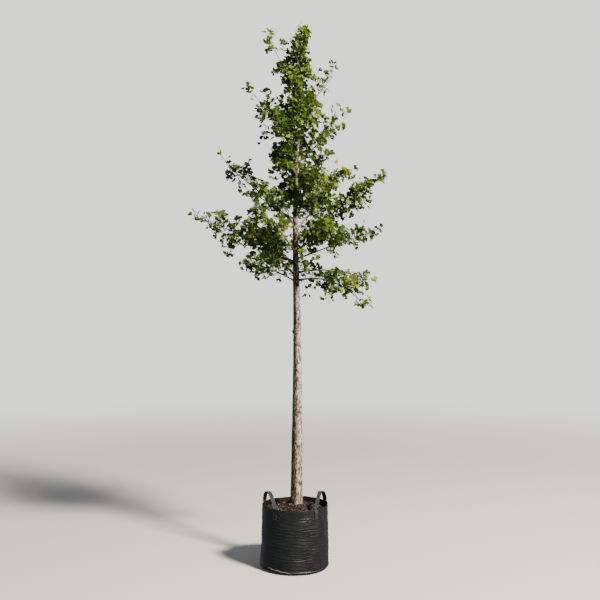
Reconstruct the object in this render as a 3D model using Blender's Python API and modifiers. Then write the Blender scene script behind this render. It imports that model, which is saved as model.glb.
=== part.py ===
"""A young ginkgo with a clear stem, standing on its root ball in a planting bag with two handles.

Metres, +Z up. The origin is the centre of the bag's flat underside. Azimuths run anticlockwise
from +X, seen from above. Each limb leaves the trunk as a bare bough, which ends at its mass of
foliage. Short shoots near the trunk and the leader are foliage from their foot on.
"""

import functools
import math
import random
from typing import NamedTuple

import bmesh
import bpy
from mathutils import Matrix, Vector, bvhtree, geometry, kdtree

# Clearance between pieces that touch.
GAP = 0.0003
WELD = 1e-6
SHARP_ANGLE = 40

# Planting bag.
BAG_HEIGHT = 0.464
BAG_RIM_RADIUS = 0.2445
BAG_WAIST_RADIUS = 0.2525
BAG_FOOT_RADIUS = 0.2475
BAG_WALL = 0.003
BASE_SEAM_HEIGHT = 0.018
BASE_SEAM_RADIUS = 0.2555
BASE_SEAM_HALF = 0.005
BAG_STEPS = 28

# Handles: webbing sewn to the outside of the bag, one arch for each pair of leg azimuths. The left one
# leans outwards a little.
HANDLE_LEGS = {"handle_left": (159.5, 234), "handle_right": (309.5, 382)}
HANDLE_LEAN = {"handle_left": 0.008, "handle_right": 0.0}
HANDLE_TURNED = 0.55
STRAP_WIDTH = 0.031
STRAP_THICKNESS = 0.0025
STRAP_EASE = 0.0022
HANDLE_RISE = 0.105
HANDLE_SEWN = 0.072
HANDLE_ARCH_STATIONS = 13

# Root ball: it fills the bag, and its surface mounds up to the foot of the trunk.
SOIL_EDGE = 0.42
SOIL_TOP = 0.468
SOIL_SEAT_RADIUS = 0.062
SOIL_CLEARANCE = 0.003

# Trunk.
TREE_TOP = 4.11
TRUNK_FOOT_X = 0.0105
TRUNK_RADIUS = 0.0425
TRUNK_TAPER = 0.95
TRUNK_TIP_RADIUS = 0.0018
ROOT_FLARE = 0.0045
FLARE_HEIGHT = 0.07
TRUNK_LEAN = 0.036
TRUNK_SWAY = 0.028
SWAY_HEIGHT = 2.645
SWAY_SPAN = 0.733
TRUNK_RINGS = 22
STUB_HEIGHT = 1.765
STUB_AZIMUTH = 185
STUB_RADIUS = 0.011
STUB_SLOPE = 0.35

# Limbs.
LIMB_STEP = 0.08
PATH_STEP = 0.01
SQUARE_END = 0.003
LIMB_RADIUS = 0.0042
LIMB_RADIUS_PER_LENGTH = 0.0068
LIMB_TIP_SHARE = 0.3
FOOT_SHARE = 0.6
LIMB_MEANDER = 7
GOLDEN_ANGLE = 137.5

# Foliage. Another SEED gives other twigs and leaves on the same limbs. A leaf is a
# notched fan on a stalk, larger than life because there are fewer.
SEED = 61
TWIG_STEP = 0.085
SHOOT_TWIG_STEP = 0.042
FIRST_TWIG = 0.045
TWIG_ANGLE = 52
TWIG_LIFT = 0.22
TWIG_RADIUS = 0.0034
TWIG_TAPER = 0.75
LEAF_STALK = 0.016
LEAF_LENGTH = 0.090
LEAF_SHOULDER = 0.075
LEAF_WIDTH = 0.106
LEAF_HALF_THICKNESS = 0.0009
LEAF_SPLAY = 58
TIP_LEAF_SPLAY = 8
LEAF_STEP = 0.031
LEAF_DROOP = 0.35
LEAF_TRIES = 20
ROOT_SUNK = 0.0004
TIP_INSET = 0.003
LEAFY_TIP = 0.12
SPACE_MARGIN = 0.003
NEAREST_STEM_POINTS = 60
LIMB_CLEARANCE = 0.002
WOOD_STEP = 0.005


class Limb(NamedTuple):
    """One limb: the height of its foot, its azimuth, how steeply it rises there and how much that turns
    by its tip, its length, how much of that is bough without leaves, and the reach of its side twigs.
    """

    foot: float
    azimuth: float
    rise: float
    turn: float
    length: float
    bare: float
    spread: float


# The limbs that give the crown its outline to the left and right.
OUTLINE_LIMBS = (
    Limb(2.13, 196, 30, -22, 0.46, 0.12, 0.11),
    Limb(2.27, 178, 32, -14, 0.77, 0.16, 0.15),
    Limb(2.56, 174, 44, -6, 0.69, 0.15, 0.13),
    Limb(2.60, 212, 24, 4, 0.48, 0.13, 0.12),
    Limb(3.14, 172, 50, 2, 0.54, 0.12, 0.09),
    Limb(3.58, 186, 52, 10, 0.40, 0.0, 0.07),
    Limb(2.14, 334, 14, -60, 0.56, 0.12, 0.11),
    Limb(2.20, 350, 12, -36, 0.56, 0.14, 0.11),
    Limb(2.30, 8, 22, -4, 0.58, 0.15, 0.11),
    Limb(2.36, 318, 24, -10, 0.42, 0.12, 0.12),
    Limb(2.44, 358, 38, -4, 0.76, 0.16, 0.13),
    Limb(2.66, 22, 40, -6, 0.50, 0.13, 0.11),
    Limb(3.02, 8, 44, -4, 0.48, 0.12, 0.10),
    Limb(3.36, 354, 50, 0, 0.40, 0.0, 0.08),
)

# The limbs towards the front and the back follow the crown's own shape.
DEPTH_LIMBS = 7
DEPTH_LIMB_LOWEST = 2.17
DEPTH_LIMB_HIGHEST = 3.20
FRONT_AZIMUTH = 270
BACK_AZIMUTH = 90
DEPTH_SWING = 36
DEPTH_RISE = 36
DEPTH_RISE_STEP = 3
DEPTH_TURN = -8
DEPTH_BARE = 0.13
DEPTH_SPREAD = 0.11
CROWN_SLOPE = 0.37

# Short leafy shoots close round the trunk, and the ones that stand along the leader.
INNER_SHOOTS = 15
INNER_LOWEST = 2.10
INNER_HIGHEST = 3.86
INNER_CROWDING = 0.72
INNER_LENGTH = 0.30
INNER_SHORTENS = 0.5
INNER_RISE = 34
INNER_STEEPENS = 30
INNER_TURN = 14
INNER_SPREAD = 0.09
INNER_NARROWS = 0.25
INNER_FIRST_AZIMUTH = 250
LIMB_ROOM = 0.05
TURN_ON = 24


def depth_limbs():
    """Limbs by rule, in turn to the front and the back, shorter the higher they stand."""
    found = []
    for k in range(DEPTH_LIMBS):
        foot = DEPTH_LIMB_LOWEST + (DEPTH_LIMB_HIGHEST - DEPTH_LIMB_LOWEST) * k / (DEPTH_LIMBS - 1)
        side = FRONT_AZIMUTH if k % 2 else BACK_AZIMUTH
        swing = DEPTH_SWING if k % 4 in (0, 3) else -DEPTH_SWING
        length = CROWN_SLOPE * (TREE_TOP - foot)
        rise = DEPTH_RISE + DEPTH_RISE_STEP * k
        found.append(Limb(foot, side + swing, rise, DEPTH_TURN, length, DEPTH_BARE, DEPTH_SPREAD))
    return found


def inner_shoots(boughs):
    """Leafy shoots by the golden angle up the trunk, closer, shorter and steeper towards the tip.

    One that would grow into another limb is turned on until it has room.
    """
    found = []
    for k in range(INNER_SHOOTS):
        share = k / (INNER_SHOOTS - 1)
        foot = INNER_LOWEST + (INNER_HIGHEST - INNER_LOWEST) * share**INNER_CROWDING
        azimuth = INNER_FIRST_AZIMUTH + GOLDEN_ANGLE * k
        rise = INNER_RISE + INNER_STEEPENS * share
        length = INNER_LENGTH * (1 - INNER_SHORTENS * share)
        spread = INNER_SPREAD * (1 - INNER_NARROWS * share)
        shoot = Limb(foot, azimuth, rise, INNER_TURN, length, 0.0, spread)
        others = [*boughs, *found]
        turns = [shoot._replace(azimuth=shoot.azimuth + TURN_ON * n) for n in range(int(360 / TURN_ON))]
        found.append(next((turned_on for turned_on in turns if has_room(turned_on, others)), shoot))
    return found


def has_room(limb, others):
    """True where the limb's axis stays LIMB_ROOM away from every other limb's, outside the trunk."""
    own = [limb_point(limb, LIMB_ROOM * k) for k in range(1, int(limb.length / LIMB_ROOM) + 1)]
    for other in others:
        if abs(other.foot - limb.foot) > limb.length + other.length:
            continue
        for k in range(1, int(other.length / LIMB_ROOM) + 1):
            point = limb_point(other, LIMB_ROOM * k)
            if any((point - near).length < LIMB_ROOM for near in own):
                return False
    return True


def trunk_centre(height):
    """The trunk's axis: a slight lean, and a sway to the left where it enters the crown."""
    climb = (height - SOIL_TOP) / (TREE_TOP - SOIL_TOP)
    sway = math.exp(-(((height - SWAY_HEIGHT) / SWAY_SPAN) ** 2))
    return Vector((TRUNK_FOOT_X + TRUNK_LEAN * climb - TRUNK_SWAY * sway, 0.5 * TRUNK_SWAY * sway, height))


def trunk_radius(height):
    climb = min(1, (height - SOIL_TOP) / (TREE_TOP - SOIL_TOP))
    flare = ROOT_FLARE * math.exp(-(height - SOIL_TOP) / FLARE_HEIGHT)
    return max(TRUNK_TIP_RADIUS, TRUNK_RADIUS * (1 - climb) ** TRUNK_TAPER) + flare


def limb_radius(limb, distance):
    base = min(LIMB_RADIUS + LIMB_RADIUS_PER_LENGTH * limb.length, FOOT_SHARE * trunk_radius(limb.foot))
    return base * (1 - (1 - LIMB_TIP_SHARE) * distance / limb.length)


@functools.cache
def limb_path(limb):
    """Points every PATH_STEP along the limb's axis, from the trunk's axis to just beyond its tip."""
    points = [trunk_centre(limb.foot)]
    for k in range(math.ceil(limb.length / PATH_STEP) + 1):
        along = (k + 0.5) * PATH_STEP / limb.length
        slope = math.radians(limb.rise + limb.turn * along)
        bend = LIMB_MEANDER * math.sin(2 * math.pi * along + limb.azimuth)
        heading = math.radians(limb.azimuth + bend)
        level = Vector((math.cos(heading), math.sin(heading), 0))
        points.append(points[-1] + (level * math.cos(slope) + Vector((0, 0, math.sin(slope)))) * PATH_STEP)
    return points


def limb_point(limb, distance):
    """A point on the limb's axis, distance along it from the trunk's axis."""
    place = max(0, distance / PATH_STEP)
    points = limb_path(limb)
    k = min(int(place), len(points) - 2)
    return points[k].lerp(points[k + 1], place - k)


def limb_axis(start, end):
    """Distances along a limb for its rings. The short first and last lengths keep its ends square."""
    count = max(3, math.ceil((end - start) / LIMB_STEP) + 1)
    between = [start + (end - start) * k / (count - 1) for k in range(1, count - 1)]
    return [start, start + SQUARE_END, *between, end - SQUARE_END, end]


def limb_heading(limb, distance):
    step = 0.004
    return (limb_point(limb, distance + step) - limb_point(limb, distance - step)).normalized()


def material(name, colour, roughness):
    made = bpy.data.materials.new(name)
    made.use_nodes = True
    shader = made.node_tree.nodes["Principled BSDF"]
    shader.inputs["Base Color"].default_value = (*colour, 1)
    shader.inputs["Roughness"].default_value = roughness
    shader.inputs["Metallic"].default_value = 0.0
    made.diffuse_color = (*colour, 1)
    return made


def add_object(name, data, collection, finish=None):
    made = bpy.data.objects.new(name, data)
    collection.objects.link(made)
    if finish and not data.materials:
        data.materials.append(finish)
    return made


def solid_mesh(source, name):
    """The object's evaluated shape as a closed mesh in world space, with a curve's caps welded on."""
    bpy.context.view_layer.update()
    graph = bpy.context.evaluated_depsgraph_get()
    made = bpy.data.meshes.new_from_object(source.evaluated_get(graph))
    made.name = name
    made.transform(source.matrix_world)
    shape = bmesh.new()
    shape.from_mesh(made)
    bmesh.ops.remove_doubles(shape, verts=shape.verts, dist=WELD)
    bmesh.ops.recalc_face_normals(shape, faces=shape.faces)
    shape.to_mesh(made)
    shape.free()
    return made


def tapered_tube(name, points, radii, resolution, collection):
    """A closed limb along the points, round to 4 + 2 * resolution sides, with flat ends."""
    line = bpy.data.curves.new(name + "_line", "CURVE")
    line.dimensions = "3D"
    line.bevel_depth = 1.0
    line.bevel_resolution = resolution
    line.use_fill_caps = True
    spline = line.splines.new("POLY")
    spline.points.add(len(points) - 1)
    for control, point, radius in zip(spline.points, points, radii):
        control.co = (*point, 1)
        control.radius = radius
    helper = add_object(name + "_helper", line, collection)
    mesh = solid_mesh(helper, name)
    bpy.data.objects.remove(helper)
    return mesh


def turned(name, profile, steps, collection, finish):
    """A body of revolution about Z from an (x, z) profile that runs down its outer side."""
    outline = bpy.data.meshes.new(name)
    points = [(x, 0, z) for x, z in profile]
    outline.from_pydata(points, [(k, k + 1) for k in range(len(points) - 1)], [])
    made = add_object(name, outline, collection, finish)
    screw = made.modifiers.new("turn", "SCREW")
    screw.axis = "Z"
    screw.steps = steps
    screw.render_steps = steps
    screw.use_merge_vertices = True
    screw.merge_threshold = WELD
    screw.use_smooth_shade = True
    return made


def boolean(target, operation, operand, solver="EXACT"):
    """Cuts or joins by an object or a whole collection, and applies the result to the target's mesh."""
    change = target.modifiers.new(operation.lower(), "BOOLEAN")
    change.operation = operation
    change.solver = solver
    if isinstance(operand, bpy.types.Collection):
        change.operand_type = "COLLECTION"
        change.collection = operand
    else:
        change.object = operand
    bpy.context.view_layer.update()
    graph = bpy.context.evaluated_depsgraph_get()
    made = bpy.data.meshes.new_from_object(target.evaluated_get(graph))
    target.modifiers.remove(change)
    old = target.data
    made.name = old.name
    target.data = made
    bpy.data.meshes.remove(old)


def drop_scraps(obj):
    """Leaves only the largest of the pieces that a join or a cut left loose."""
    shape = bmesh.new()
    shape.from_mesh(obj.data)
    unseen = set(shape.faces)
    islands = []
    while unseen:
        front = [unseen.pop()]
        island = set(front)
        while front:
            beside = {face for edge in front.pop().edges for face in edge.link_faces} & unseen
            unseen -= beside
            island |= beside
            front.extend(beside)
        islands.append(island)
    islands.sort(key=len)
    for island in islands[:-1]:
        bmesh.ops.delete(shape, geom=list(island), context="FACES")
    shape.to_mesh(obj.data)
    shape.free()


def shade(obj):
    obj.data.shade_smooth()
    obj.data.set_sharp_from_angle(angle=math.radians(SHARP_ANGLE))


# Bag, handles and root ball.


def bag_profile():
    """Rim to the middle of the underside. The seam of the base stands out as a low bead."""
    low = BASE_SEAM_HEIGHT - BASE_SEAM_HALF
    high = BASE_SEAM_HEIGHT + BASE_SEAM_HALF
    beside = BASE_SEAM_RADIUS - BASE_SEAM_HALF
    bulge = BAG_WAIST_RADIUS - BAG_RIM_RADIUS
    return (
        (BAG_RIM_RADIUS, BAG_HEIGHT),
        (BAG_RIM_RADIUS + 0.4 * bulge, 0.86 * BAG_HEIGHT),
        (BAG_RIM_RADIUS + 0.8 * bulge, 0.65 * BAG_HEIGHT),
        (BAG_WAIST_RADIUS, 0.35 * BAG_HEIGHT),
        (BAG_WAIST_RADIUS, 0.12 * BAG_HEIGHT),
        (beside, high),
        (BASE_SEAM_RADIUS, BASE_SEAM_HEIGHT),
        (beside, low),
        (BAG_FOOT_RADIUS, 0),
        (0, 0),
    )


def bag_radius(height):
    """The outer radius of the bag's wall above its base seam."""
    wall = bag_profile()[:5]
    for (upper, top), (lower, bottom) in zip(wall, wall[1:]):
        if bottom <= height <= top:
            return lower + (upper - lower) * (height - bottom) / (top - bottom)
    return BAG_RIM_RADIUS


def make_bag(collection, finish):
    bag = turned("bag", bag_profile(), BAG_STEPS, collection, finish)
    wall = bag.modifiers.new("wall", "SOLIDIFY")
    wall.thickness = BAG_WALL
    wall.offset = -1
    return bag


def make_root_ball(collection, finish):
    inside = BAG_WALL + SOIL_CLEARANCE
    mound = SOIL_TOP - SOIL_EDGE
    profile = (
        (0, SOIL_TOP),
        (SOIL_SEAT_RADIUS, SOIL_TOP),
        (1.5 * SOIL_SEAT_RADIUS, SOIL_TOP - 0.25 * mound),
        (0.62 * BAG_RIM_RADIUS, SOIL_TOP - 0.55 * mound),
        (0.85 * BAG_RIM_RADIUS, SOIL_TOP - 0.85 * mound),
        (BAG_RIM_RADIUS - inside, SOIL_EDGE),
        (bag_radius(0.5 * BAG_HEIGHT) - inside, 0.5 * BAG_HEIGHT),
        (BAG_WAIST_RADIUS - inside, 0.12 * BAG_HEIGHT),
        (BAG_FOOT_RADIUS - inside, 2 * BASE_SEAM_HEIGHT),
        (BAG_FOOT_RADIUS - 3 * inside, BAG_WALL + GAP),
        (0, BAG_WALL + GAP),
    )
    return turned("root_ball", profile, BAG_STEPS, collection, finish)


def strap_place(azimuth, height):
    """(centre, direction along the wall) of webbing that lies flat on the outside of the bag."""
    a = math.radians(azimuth)
    radius = BAG_RIM_RADIUS if height >= BAG_HEIGHT else bag_radius(height) + STRAP_EASE
    radius += STRAP_THICKNESS / 2 + GAP
    centre = Vector((radius * math.cos(a), radius * math.sin(a), height))
    return centre, Vector((-math.sin(a), math.cos(a), 0))


def handle_stations(name):
    """(centre, width direction) up the first leg, over the arch and down the other leg.

    The arch stands on the straight line between its legs. Just above the rim the webbing turns, and
    from HANDLE_TURNED of the way up its width points outwards.
    """
    legs = HANDLE_LEGS[name]
    low = BAG_HEIGHT - HANDLE_SEWN
    (first, first_width), (last, last_width) = (strap_place(azimuth, BAG_HEIGHT) for azimuth in legs)
    chord = last - first
    outward = Vector((chord.y, -chord.x, 0)).normalized()
    stations = [strap_place(legs[0], low)]
    for k in range(HANDLE_ARCH_STATIONS):
        share = k / (HANDLE_ARCH_STATIONS - 1)
        lift = math.sin(math.pi * share)
        rise = Vector((0, 0, HANDLE_RISE)) + outward * HANDLE_LEAN[name]
        centre = first + chord * (1 - math.cos(math.pi * share)) / 2 + rise * lift
        turn = min(1, lift / HANDLE_TURNED)
        turn *= turn * (3 - 2 * turn)
        flat = first_width if share < 0.5 else -last_width
        stations.append((centre, (flat * (1 - turn) + outward * turn).normalized()))
    centre, width = strap_place(legs[1], low)
    stations.append((centre, -width))
    return stations


def make_handle(name, collection, finish):
    stations = handle_stations(name)
    shape = bmesh.new()
    rings = []
    for k, (centre, width) in enumerate(stations):
        before = stations[max(0, k - 1)][0]
        after = stations[min(len(stations) - 1, k + 1)][0]
        along = (after - before).normalized()
        width = (width - along * width.dot(along)).normalized()
        normal = along.cross(width)
        half_width = width * STRAP_WIDTH / 2
        half_thick = normal * STRAP_THICKNESS / 2
        corners = [half_width * w + half_thick * t for w, t in ((1, 1), (-1, 1), (-1, -1), (1, -1))]
        rings.append([shape.verts.new(centre + corner) for corner in corners])
    for ring, following in zip(rings, rings[1:]):
        for k in range(4):
            shape.faces.new((ring[k], ring[(k + 1) % 4], following[(k + 1) % 4], following[k]))
    shape.faces.new(rings[0])
    shape.faces.new(rings[-1])
    bmesh.ops.recalc_face_normals(shape, faces=shape.faces)
    mesh = bpy.data.meshes.new(name)
    shape.to_mesh(mesh)
    shape.free()
    return add_object(name, mesh, collection, finish)


# Trunk and boughs.


def trunk_heights():
    """Closer together low down, where the root flare is."""
    low = [SOIL_TOP + GAP + FLARE_HEIGHT * k for k in (0, 0.4, 1, 2)]
    above = (TREE_TOP - low[-1]) / TRUNK_RINGS
    return low + [low[-1] + above * k for k in range(1, TRUNK_RINGS + 1)]


def trunk_mesh(name, extra, collection):
    """The trunk's surface moved out by extra. Its first length is upright, so that its foot is level."""
    heights = trunk_heights()
    radii = [trunk_radius(h) + extra for h in heights]
    points = [trunk_centre(h) for h in heights]
    points[0].xy = points[1].xy
    return tapered_tube(name, points, radii, 4, collection)


def make_trunk(collection, workshop, bark):
    """The trunk up to the leader's tip, with the healed stub of a pruned shoot."""
    trunk = add_object("trunk", trunk_mesh("trunk", 0, workshop), collection, bark)
    a = math.radians(STUB_AZIMUTH)
    out = Vector((math.cos(a), math.sin(a), STUB_SLOPE)).normalized()
    root = trunk_centre(STUB_HEIGHT)
    reach = trunk_radius(STUB_HEIGHT)
    points = [root + out * reach * share for share in (0.4, 1.15, 1.35)]
    stub = tapered_tube("stub", points, (STUB_RADIUS * 1.3, STUB_RADIUS, STUB_RADIUS * 0.55), 1, workshop)
    helper = add_object("stub", stub, workshop)
    boolean(trunk, "UNION", helper)
    bpy.data.objects.remove(helper)
    shade(trunk)
    return trunk


def make_bough(name, limb, collection, workshop, cutter, bark):
    """The bare part of a limb, its foot cut to the trunk's surface."""
    distances = limb_axis(0.2 * trunk_radius(limb.foot), limb.bare)
    points = [limb_point(limb, d) for d in distances]
    radii = [limb_radius(limb, d) for d in distances]
    bough = add_object(name, tapered_tube(name, points, radii, 1, workshop), collection, bark)
    boolean(bough, "DIFFERENCE", cutter)
    drop_scraps(bough)
    shade(bough)
    return bough


# Foliage.


def leaf_mesh():
    """A notched fan on a three-sided stalk, along +Y from its root, its upper face to +Z."""
    half = LEAF_HALF_THICKNESS
    ends = (-ROOT_SUNK, LEAF_STALK)
    points = [(x, y, z) for y in ends for x, z in ((0, half), (-half, -half), (half, -half))]
    points += [(-LEAF_WIDTH / 2, LEAF_SHOULDER, 0), (0, LEAF_LENGTH, 0), (LEAF_WIDTH / 2, LEAF_SHOULDER, 0)]
    stalk = [(0, 1, 2)] + [(k, k + 3, (k + 1) % 3 + 3, (k + 1) % 3) for k in range(3)]
    blade = [(3, 6, 7), (3, 7, 8), (3, 4, 6), (3, 8, 5), (4, 7, 6), (4, 5, 7), (5, 8, 7)]
    mesh = bpy.data.meshes.new("leaf")
    mesh.from_pydata(points, [], stalk + blade)
    shape = bmesh.new()
    shape.from_mesh(mesh)
    bmesh.ops.recalc_face_normals(shape, faces=shape.faces)
    shape.to_mesh(mesh)
    shape.free()
    return mesh


def twig_mesh():
    """A three-sided cone of unit length along +Z from the origin, scaled for each twig."""
    mesh = bpy.data.meshes.new("twig")
    shape = bmesh.new()
    centre = Matrix.Translation((0, 0, 0.5))
    bmesh.ops.create_cone(
        shape, cap_ends=True, segments=3, radius1=1.0, radius2=TWIG_TAPER, depth=1.0, matrix=centre
    )
    shape.to_mesh(mesh)
    shape.free()
    return mesh


def frame_along(origin, along, up):
    """A placing matrix with +Y along, +Z as near to up as it goes."""
    along = along.normalized()
    side = along.cross(up)
    side = side.normalized() if side.length > 1e-4 else along.orthogonal().normalized()
    normal = side.cross(along)
    return Matrix.Translation(origin) @ Matrix((side, along, normal)).transposed().to_4x4()


def swung(along, splay, roll):
    """A direction splay degrees off along, turned roll degrees round it."""
    side = along.orthogonal().normalized()
    side.rotate(Matrix.Rotation(math.radians(roll), 3, along))
    angle = math.radians(splay)
    return (along * math.cos(angle) + side * math.sin(angle)).normalized()


def twigs_of(name, limb):
    """(root, tip) of each side twig of a mass, by the golden angle along its stem."""
    draw = random.Random(f"{name} {SEED}")
    start = limb.bare + TWIG_STEP / 2 if limb.bare else FIRST_TWIG
    step = TWIG_STEP if limb.bare else SHOOT_TWIG_STEP
    leafy = limb.length - start
    phase = draw.uniform(0, 360)
    twigs = []
    for k in range(int(leafy / step + 0.5)):
        distance = start + k * step
        root = limb_point(limb, distance)
        out = swung(limb_heading(limb, distance), TWIG_ANGLE, phase + GOLDEN_ANGLE * k)
        out = (out + Vector((0, 0, TWIG_LIFT))).normalized()
        fade = 1 - 0.5 * (distance - start) / leafy
        twigs.append((root, root + out * limb.spread * fade * draw.uniform(0.8, 1.1)))
    return twigs


def leaf_seats(limb, twigs):
    """(place, direction, splay) of each leaf: one at each tip of the twigs and the stem, the rest behind it."""
    stem_tip = (limb_point(limb, limb.length - LEAFY_TIP), limb_point(limb, limb.length))
    seats = []
    for root, tip in [*twigs, stem_tip]:
        along = (tip - root).normalized()
        for k in range(max(2, int((tip - root).length / LEAF_STEP))):
            splay = LEAF_SPLAY if k else TIP_LEAF_SPLAY
            seats.append((tip - along * (TIP_INSET + LEAF_STEP * k), along, splay))
    return seats


def leaf_faces(place):
    """The leaf's blade at a placing matrix, as two triangles."""
    root = place @ Vector((0, LEAF_STALK, 0))
    left = place @ Vector((-LEAF_WIDTH / 2, LEAF_SHOULDER, 0))
    notch = place @ Vector((0, LEAF_LENGTH, 0))
    right = place @ Vector((LEAF_WIDTH / 2, LEAF_SHOULDER, 0))
    return (root, left, notch), (root, notch, right)


def blade_tree(faces):
    points = [point for face in faces for point in face]
    return bvhtree.BVHTree.FromPolygons(points, [(k, k + 1, k + 2) for k in range(0, len(points), 3)])


def leaves_of(name, limb, twigs, crown):
    """Placing matrices of a mass's leaves. A leaf that would cross another piece is tried at other angles."""
    draw = random.Random(f"{name} leaves {SEED}")
    sideways = Vector((TWIG_RADIUS, 0, 0))
    taken = [(root.lerp(tip, 0.1), tip, tip + sideways) for root, tip in twigs]
    found = []
    for k, (seat, along, splay) in enumerate(leaf_seats(limb, twigs)):
        for _ in range(LEAF_TRIES):
            away = swung(along, splay + draw.uniform(-10, 10), GOLDEN_ANGLE * k + draw.uniform(-60, 60))
            away = (away - Vector((0, 0, LEAF_DROOP))).normalized()
            up = Vector((draw.uniform(-1, 1), draw.uniform(-1, 1), 0.5))
            place = frame_along(seat, away, up)
            faces = leaf_faces(place)
            if crown.takes_leaf(name, faces) and not blade_tree(faces).overlap(blade_tree(taken)):
                taken.extend(faces)
                found.append(place)
                break
    return found


class Crown:
    """Which mass a point belongs to, and how near the limbs' wood is."""

    def __init__(self, limbs):
        self.stems = kdtree.KDTree(sum(len(self.stem_points(limb)) for limb in limbs.values()))
        self.owners = []
        for name, limb in limbs.items():
            for point in self.stem_points(limb):
                self.stems.insert(point, len(self.owners))
                self.owners.append(name)
        self.stems.balance()
        wood = list(self.wood_points(limbs))
        self.wood = kdtree.KDTree(len(wood))
        self.wood_radii = [radius for _, radius in wood]
        for k, (point, _) in enumerate(wood):
            self.wood.insert(point, k)
        self.wood.balance()

    def stem_points(self, limb):
        leafy = limb.length - limb.bare
        count = int(leafy / (2 * PATH_STEP))
        return [limb_point(limb, limb.bare + leafy * k / count) for k in range(count + 1)]

    def wood_points(self, limbs):
        """Points close together down the trunk and each bough, with the wood's radius there."""
        lowest = min(limb.foot for limb in limbs.values()) - LEAFY_TIP
        for k in range(int((TREE_TOP - lowest) / WOOD_STEP) + 1):
            height = lowest + WOOD_STEP * k
            yield trunk_centre(height), trunk_radius(height)
        for limb in limbs.values():
            for k in range(int(limb.bare / WOOD_STEP) + 1):
                yield limb_point(limb, WOOD_STEP * k), limb_radius(limb, WOOD_STEP * k)

    def is_home(self, name, point):
        """True where the point is nearer to this mass's own stem than to any other, with some to spare."""
        own = None
        for _, index, distance in self.stems.find_n(point, NEAREST_STEM_POINTS):
            if self.owners[index] == name:
                own = distance if own is None else own
                continue
            if own is None:
                return False
            return distance > own + SPACE_MARGIN
        return own is not None

    def is_clear(self, triangle):
        """True where the triangle stays off the trunk and the boughs."""
        middle = (triangle[0] + triangle[1] + triangle[2]) / 3
        reach = max((corner - middle).length for corner in triangle) + TRUNK_RADIUS
        for point, index, _ in self.wood.find_range(middle, reach):
            nearest = geometry.closest_point_on_tri(point, *triangle)
            if (nearest - point).length < self.wood_radii[index] + LIMB_CLEARANCE:
                return False
        return True

    def takes_leaf(self, name, faces):
        (root, left, notch), (_, _, right) = faces
        tests = [left, right, notch, root.lerp(notch, 0.5), left.lerp(notch, 0.5), right.lerp(notch, 0.5)]
        return all(self.is_home(name, point) for point in tests) and all(map(self.is_clear, faces))

    def takes_twig(self, name, root, tip):
        tests = [root.lerp(tip, share) for share in (0.35, 0.7, 1.0)]
        if not all(self.is_home(name, point) for point in tests):
            return False
        return self.is_clear((root.lerp(tip, 0.1), tip, tip))


def make_foliage(name, limb, crown, parts, collection, workshop, cutter, finish):
    """One mass: a stem that carries on from its bough or the trunk, with twigs and leaves fused to it."""
    leaf, twig = parts
    start = limb.bare + GAP if limb.bare else 0.3 * trunk_radius(limb.foot)
    distances = limb_axis(start, limb.length)
    radii = [limb_radius(limb, d) for d in distances]
    stem = tapered_tube(name, [limb_point(limb, d) for d in distances], radii, 0, workshop)
    mass = add_object(name, stem, collection, finish)
    if not limb.bare:
        boolean(mass, "DIFFERENCE", cutter)
        drop_scraps(mass)
    sprays = bpy.data.collections.new(name + "_sprays")
    twigs = [pair for pair in twigs_of(name, limb) if crown.takes_twig(name, *pair)]
    for root, tip in twigs:
        piece = add_object("twig_of_" + name, twig, sprays)
        turn = (tip - root).to_track_quat("Z", "Y").to_matrix().to_4x4()
        size = Matrix.Diagonal((TWIG_RADIUS, TWIG_RADIUS, (tip - root).length, 1))
        piece.matrix_world = Matrix.Translation(root) @ turn @ size
    for place in leaves_of(name, limb, twigs, crown):
        add_object("leaf_of_" + name, leaf, sprays).matrix_world = place
    boolean(mass, "UNION", sprays, "MANIFOLD")
    for piece in list(sprays.objects):
        bpy.data.objects.remove(piece)
    bpy.data.collections.remove(sprays)
    drop_scraps(mass)
    mass.data.materials.clear()
    mass.data.materials.append(finish)
    return mass


def named_limbs():
    """Each limb by the name of its mass of foliage, the lowest first."""
    boughs = sorted([*OUTLINE_LIMBS, *depth_limbs()])
    names = {f"foliage_{k:02d}": limb for k, limb in enumerate(boughs, 1)}
    names.update({f"foliage_inner_{k:02d}": limb for k, limb in enumerate(inner_shoots(boughs), 1)})
    return names


def main():
    for obj in list(bpy.data.objects):
        bpy.data.objects.remove(obj)
    scene = bpy.context.scene.collection
    tree = bpy.data.collections.new("ginkgo_sapling")
    workshop = bpy.data.collections.new("cutters")
    scene.children.link(tree)
    scene.children.link(workshop)

    black_weave = material("black_woven_polypropylene", (0.012, 0.012, 0.013), 0.42)
    webbing = material("black_webbing", (0.016, 0.016, 0.018), 0.6)
    compost = material("bark_compost", (0.055, 0.034, 0.024), 0.95)
    bark = material("grey_bark", (0.27, 0.235, 0.185), 0.88)
    leaf_green = material("ginkgo_leaf", (0.075, 0.16, 0.03), 0.5)

    make_bag(tree, black_weave)
    for name in HANDLE_LEGS:
        make_handle(name, tree, webbing)
    make_root_ball(tree, compost)
    make_trunk(tree, workshop, bark)

    cutter = add_object("trunk_clearance", trunk_mesh("trunk_clearance", GAP, workshop), workshop)
    cutter.hide_render = True
    cutter.display_type = "WIRE"

    limbs = named_limbs()
    crown = Crown(limbs)
    parts = (leaf_mesh(), twig_mesh())
    for name, limb in limbs.items():
        if limb.bare:
            make_bough(name.replace("foliage", "bough"), limb, tree, workshop, cutter, bark)
        make_foliage(name, limb, crown, parts, tree, workshop, cutter, leaf_green)


main()
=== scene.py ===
"""The looks of a young ginkgo that stands on its root ball in a black planting bag.

Metres, +Z up. The origin is the centre of the bag's flat underside. Azimuths are in degrees, and run
anticlockwise from +X, seen from above. The limbs follow the same rule as the construction solids, and
carry on to finer twigs, short spurs and leaves of true size.
"""

import functools
import math
import random
from typing import NamedTuple

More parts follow.
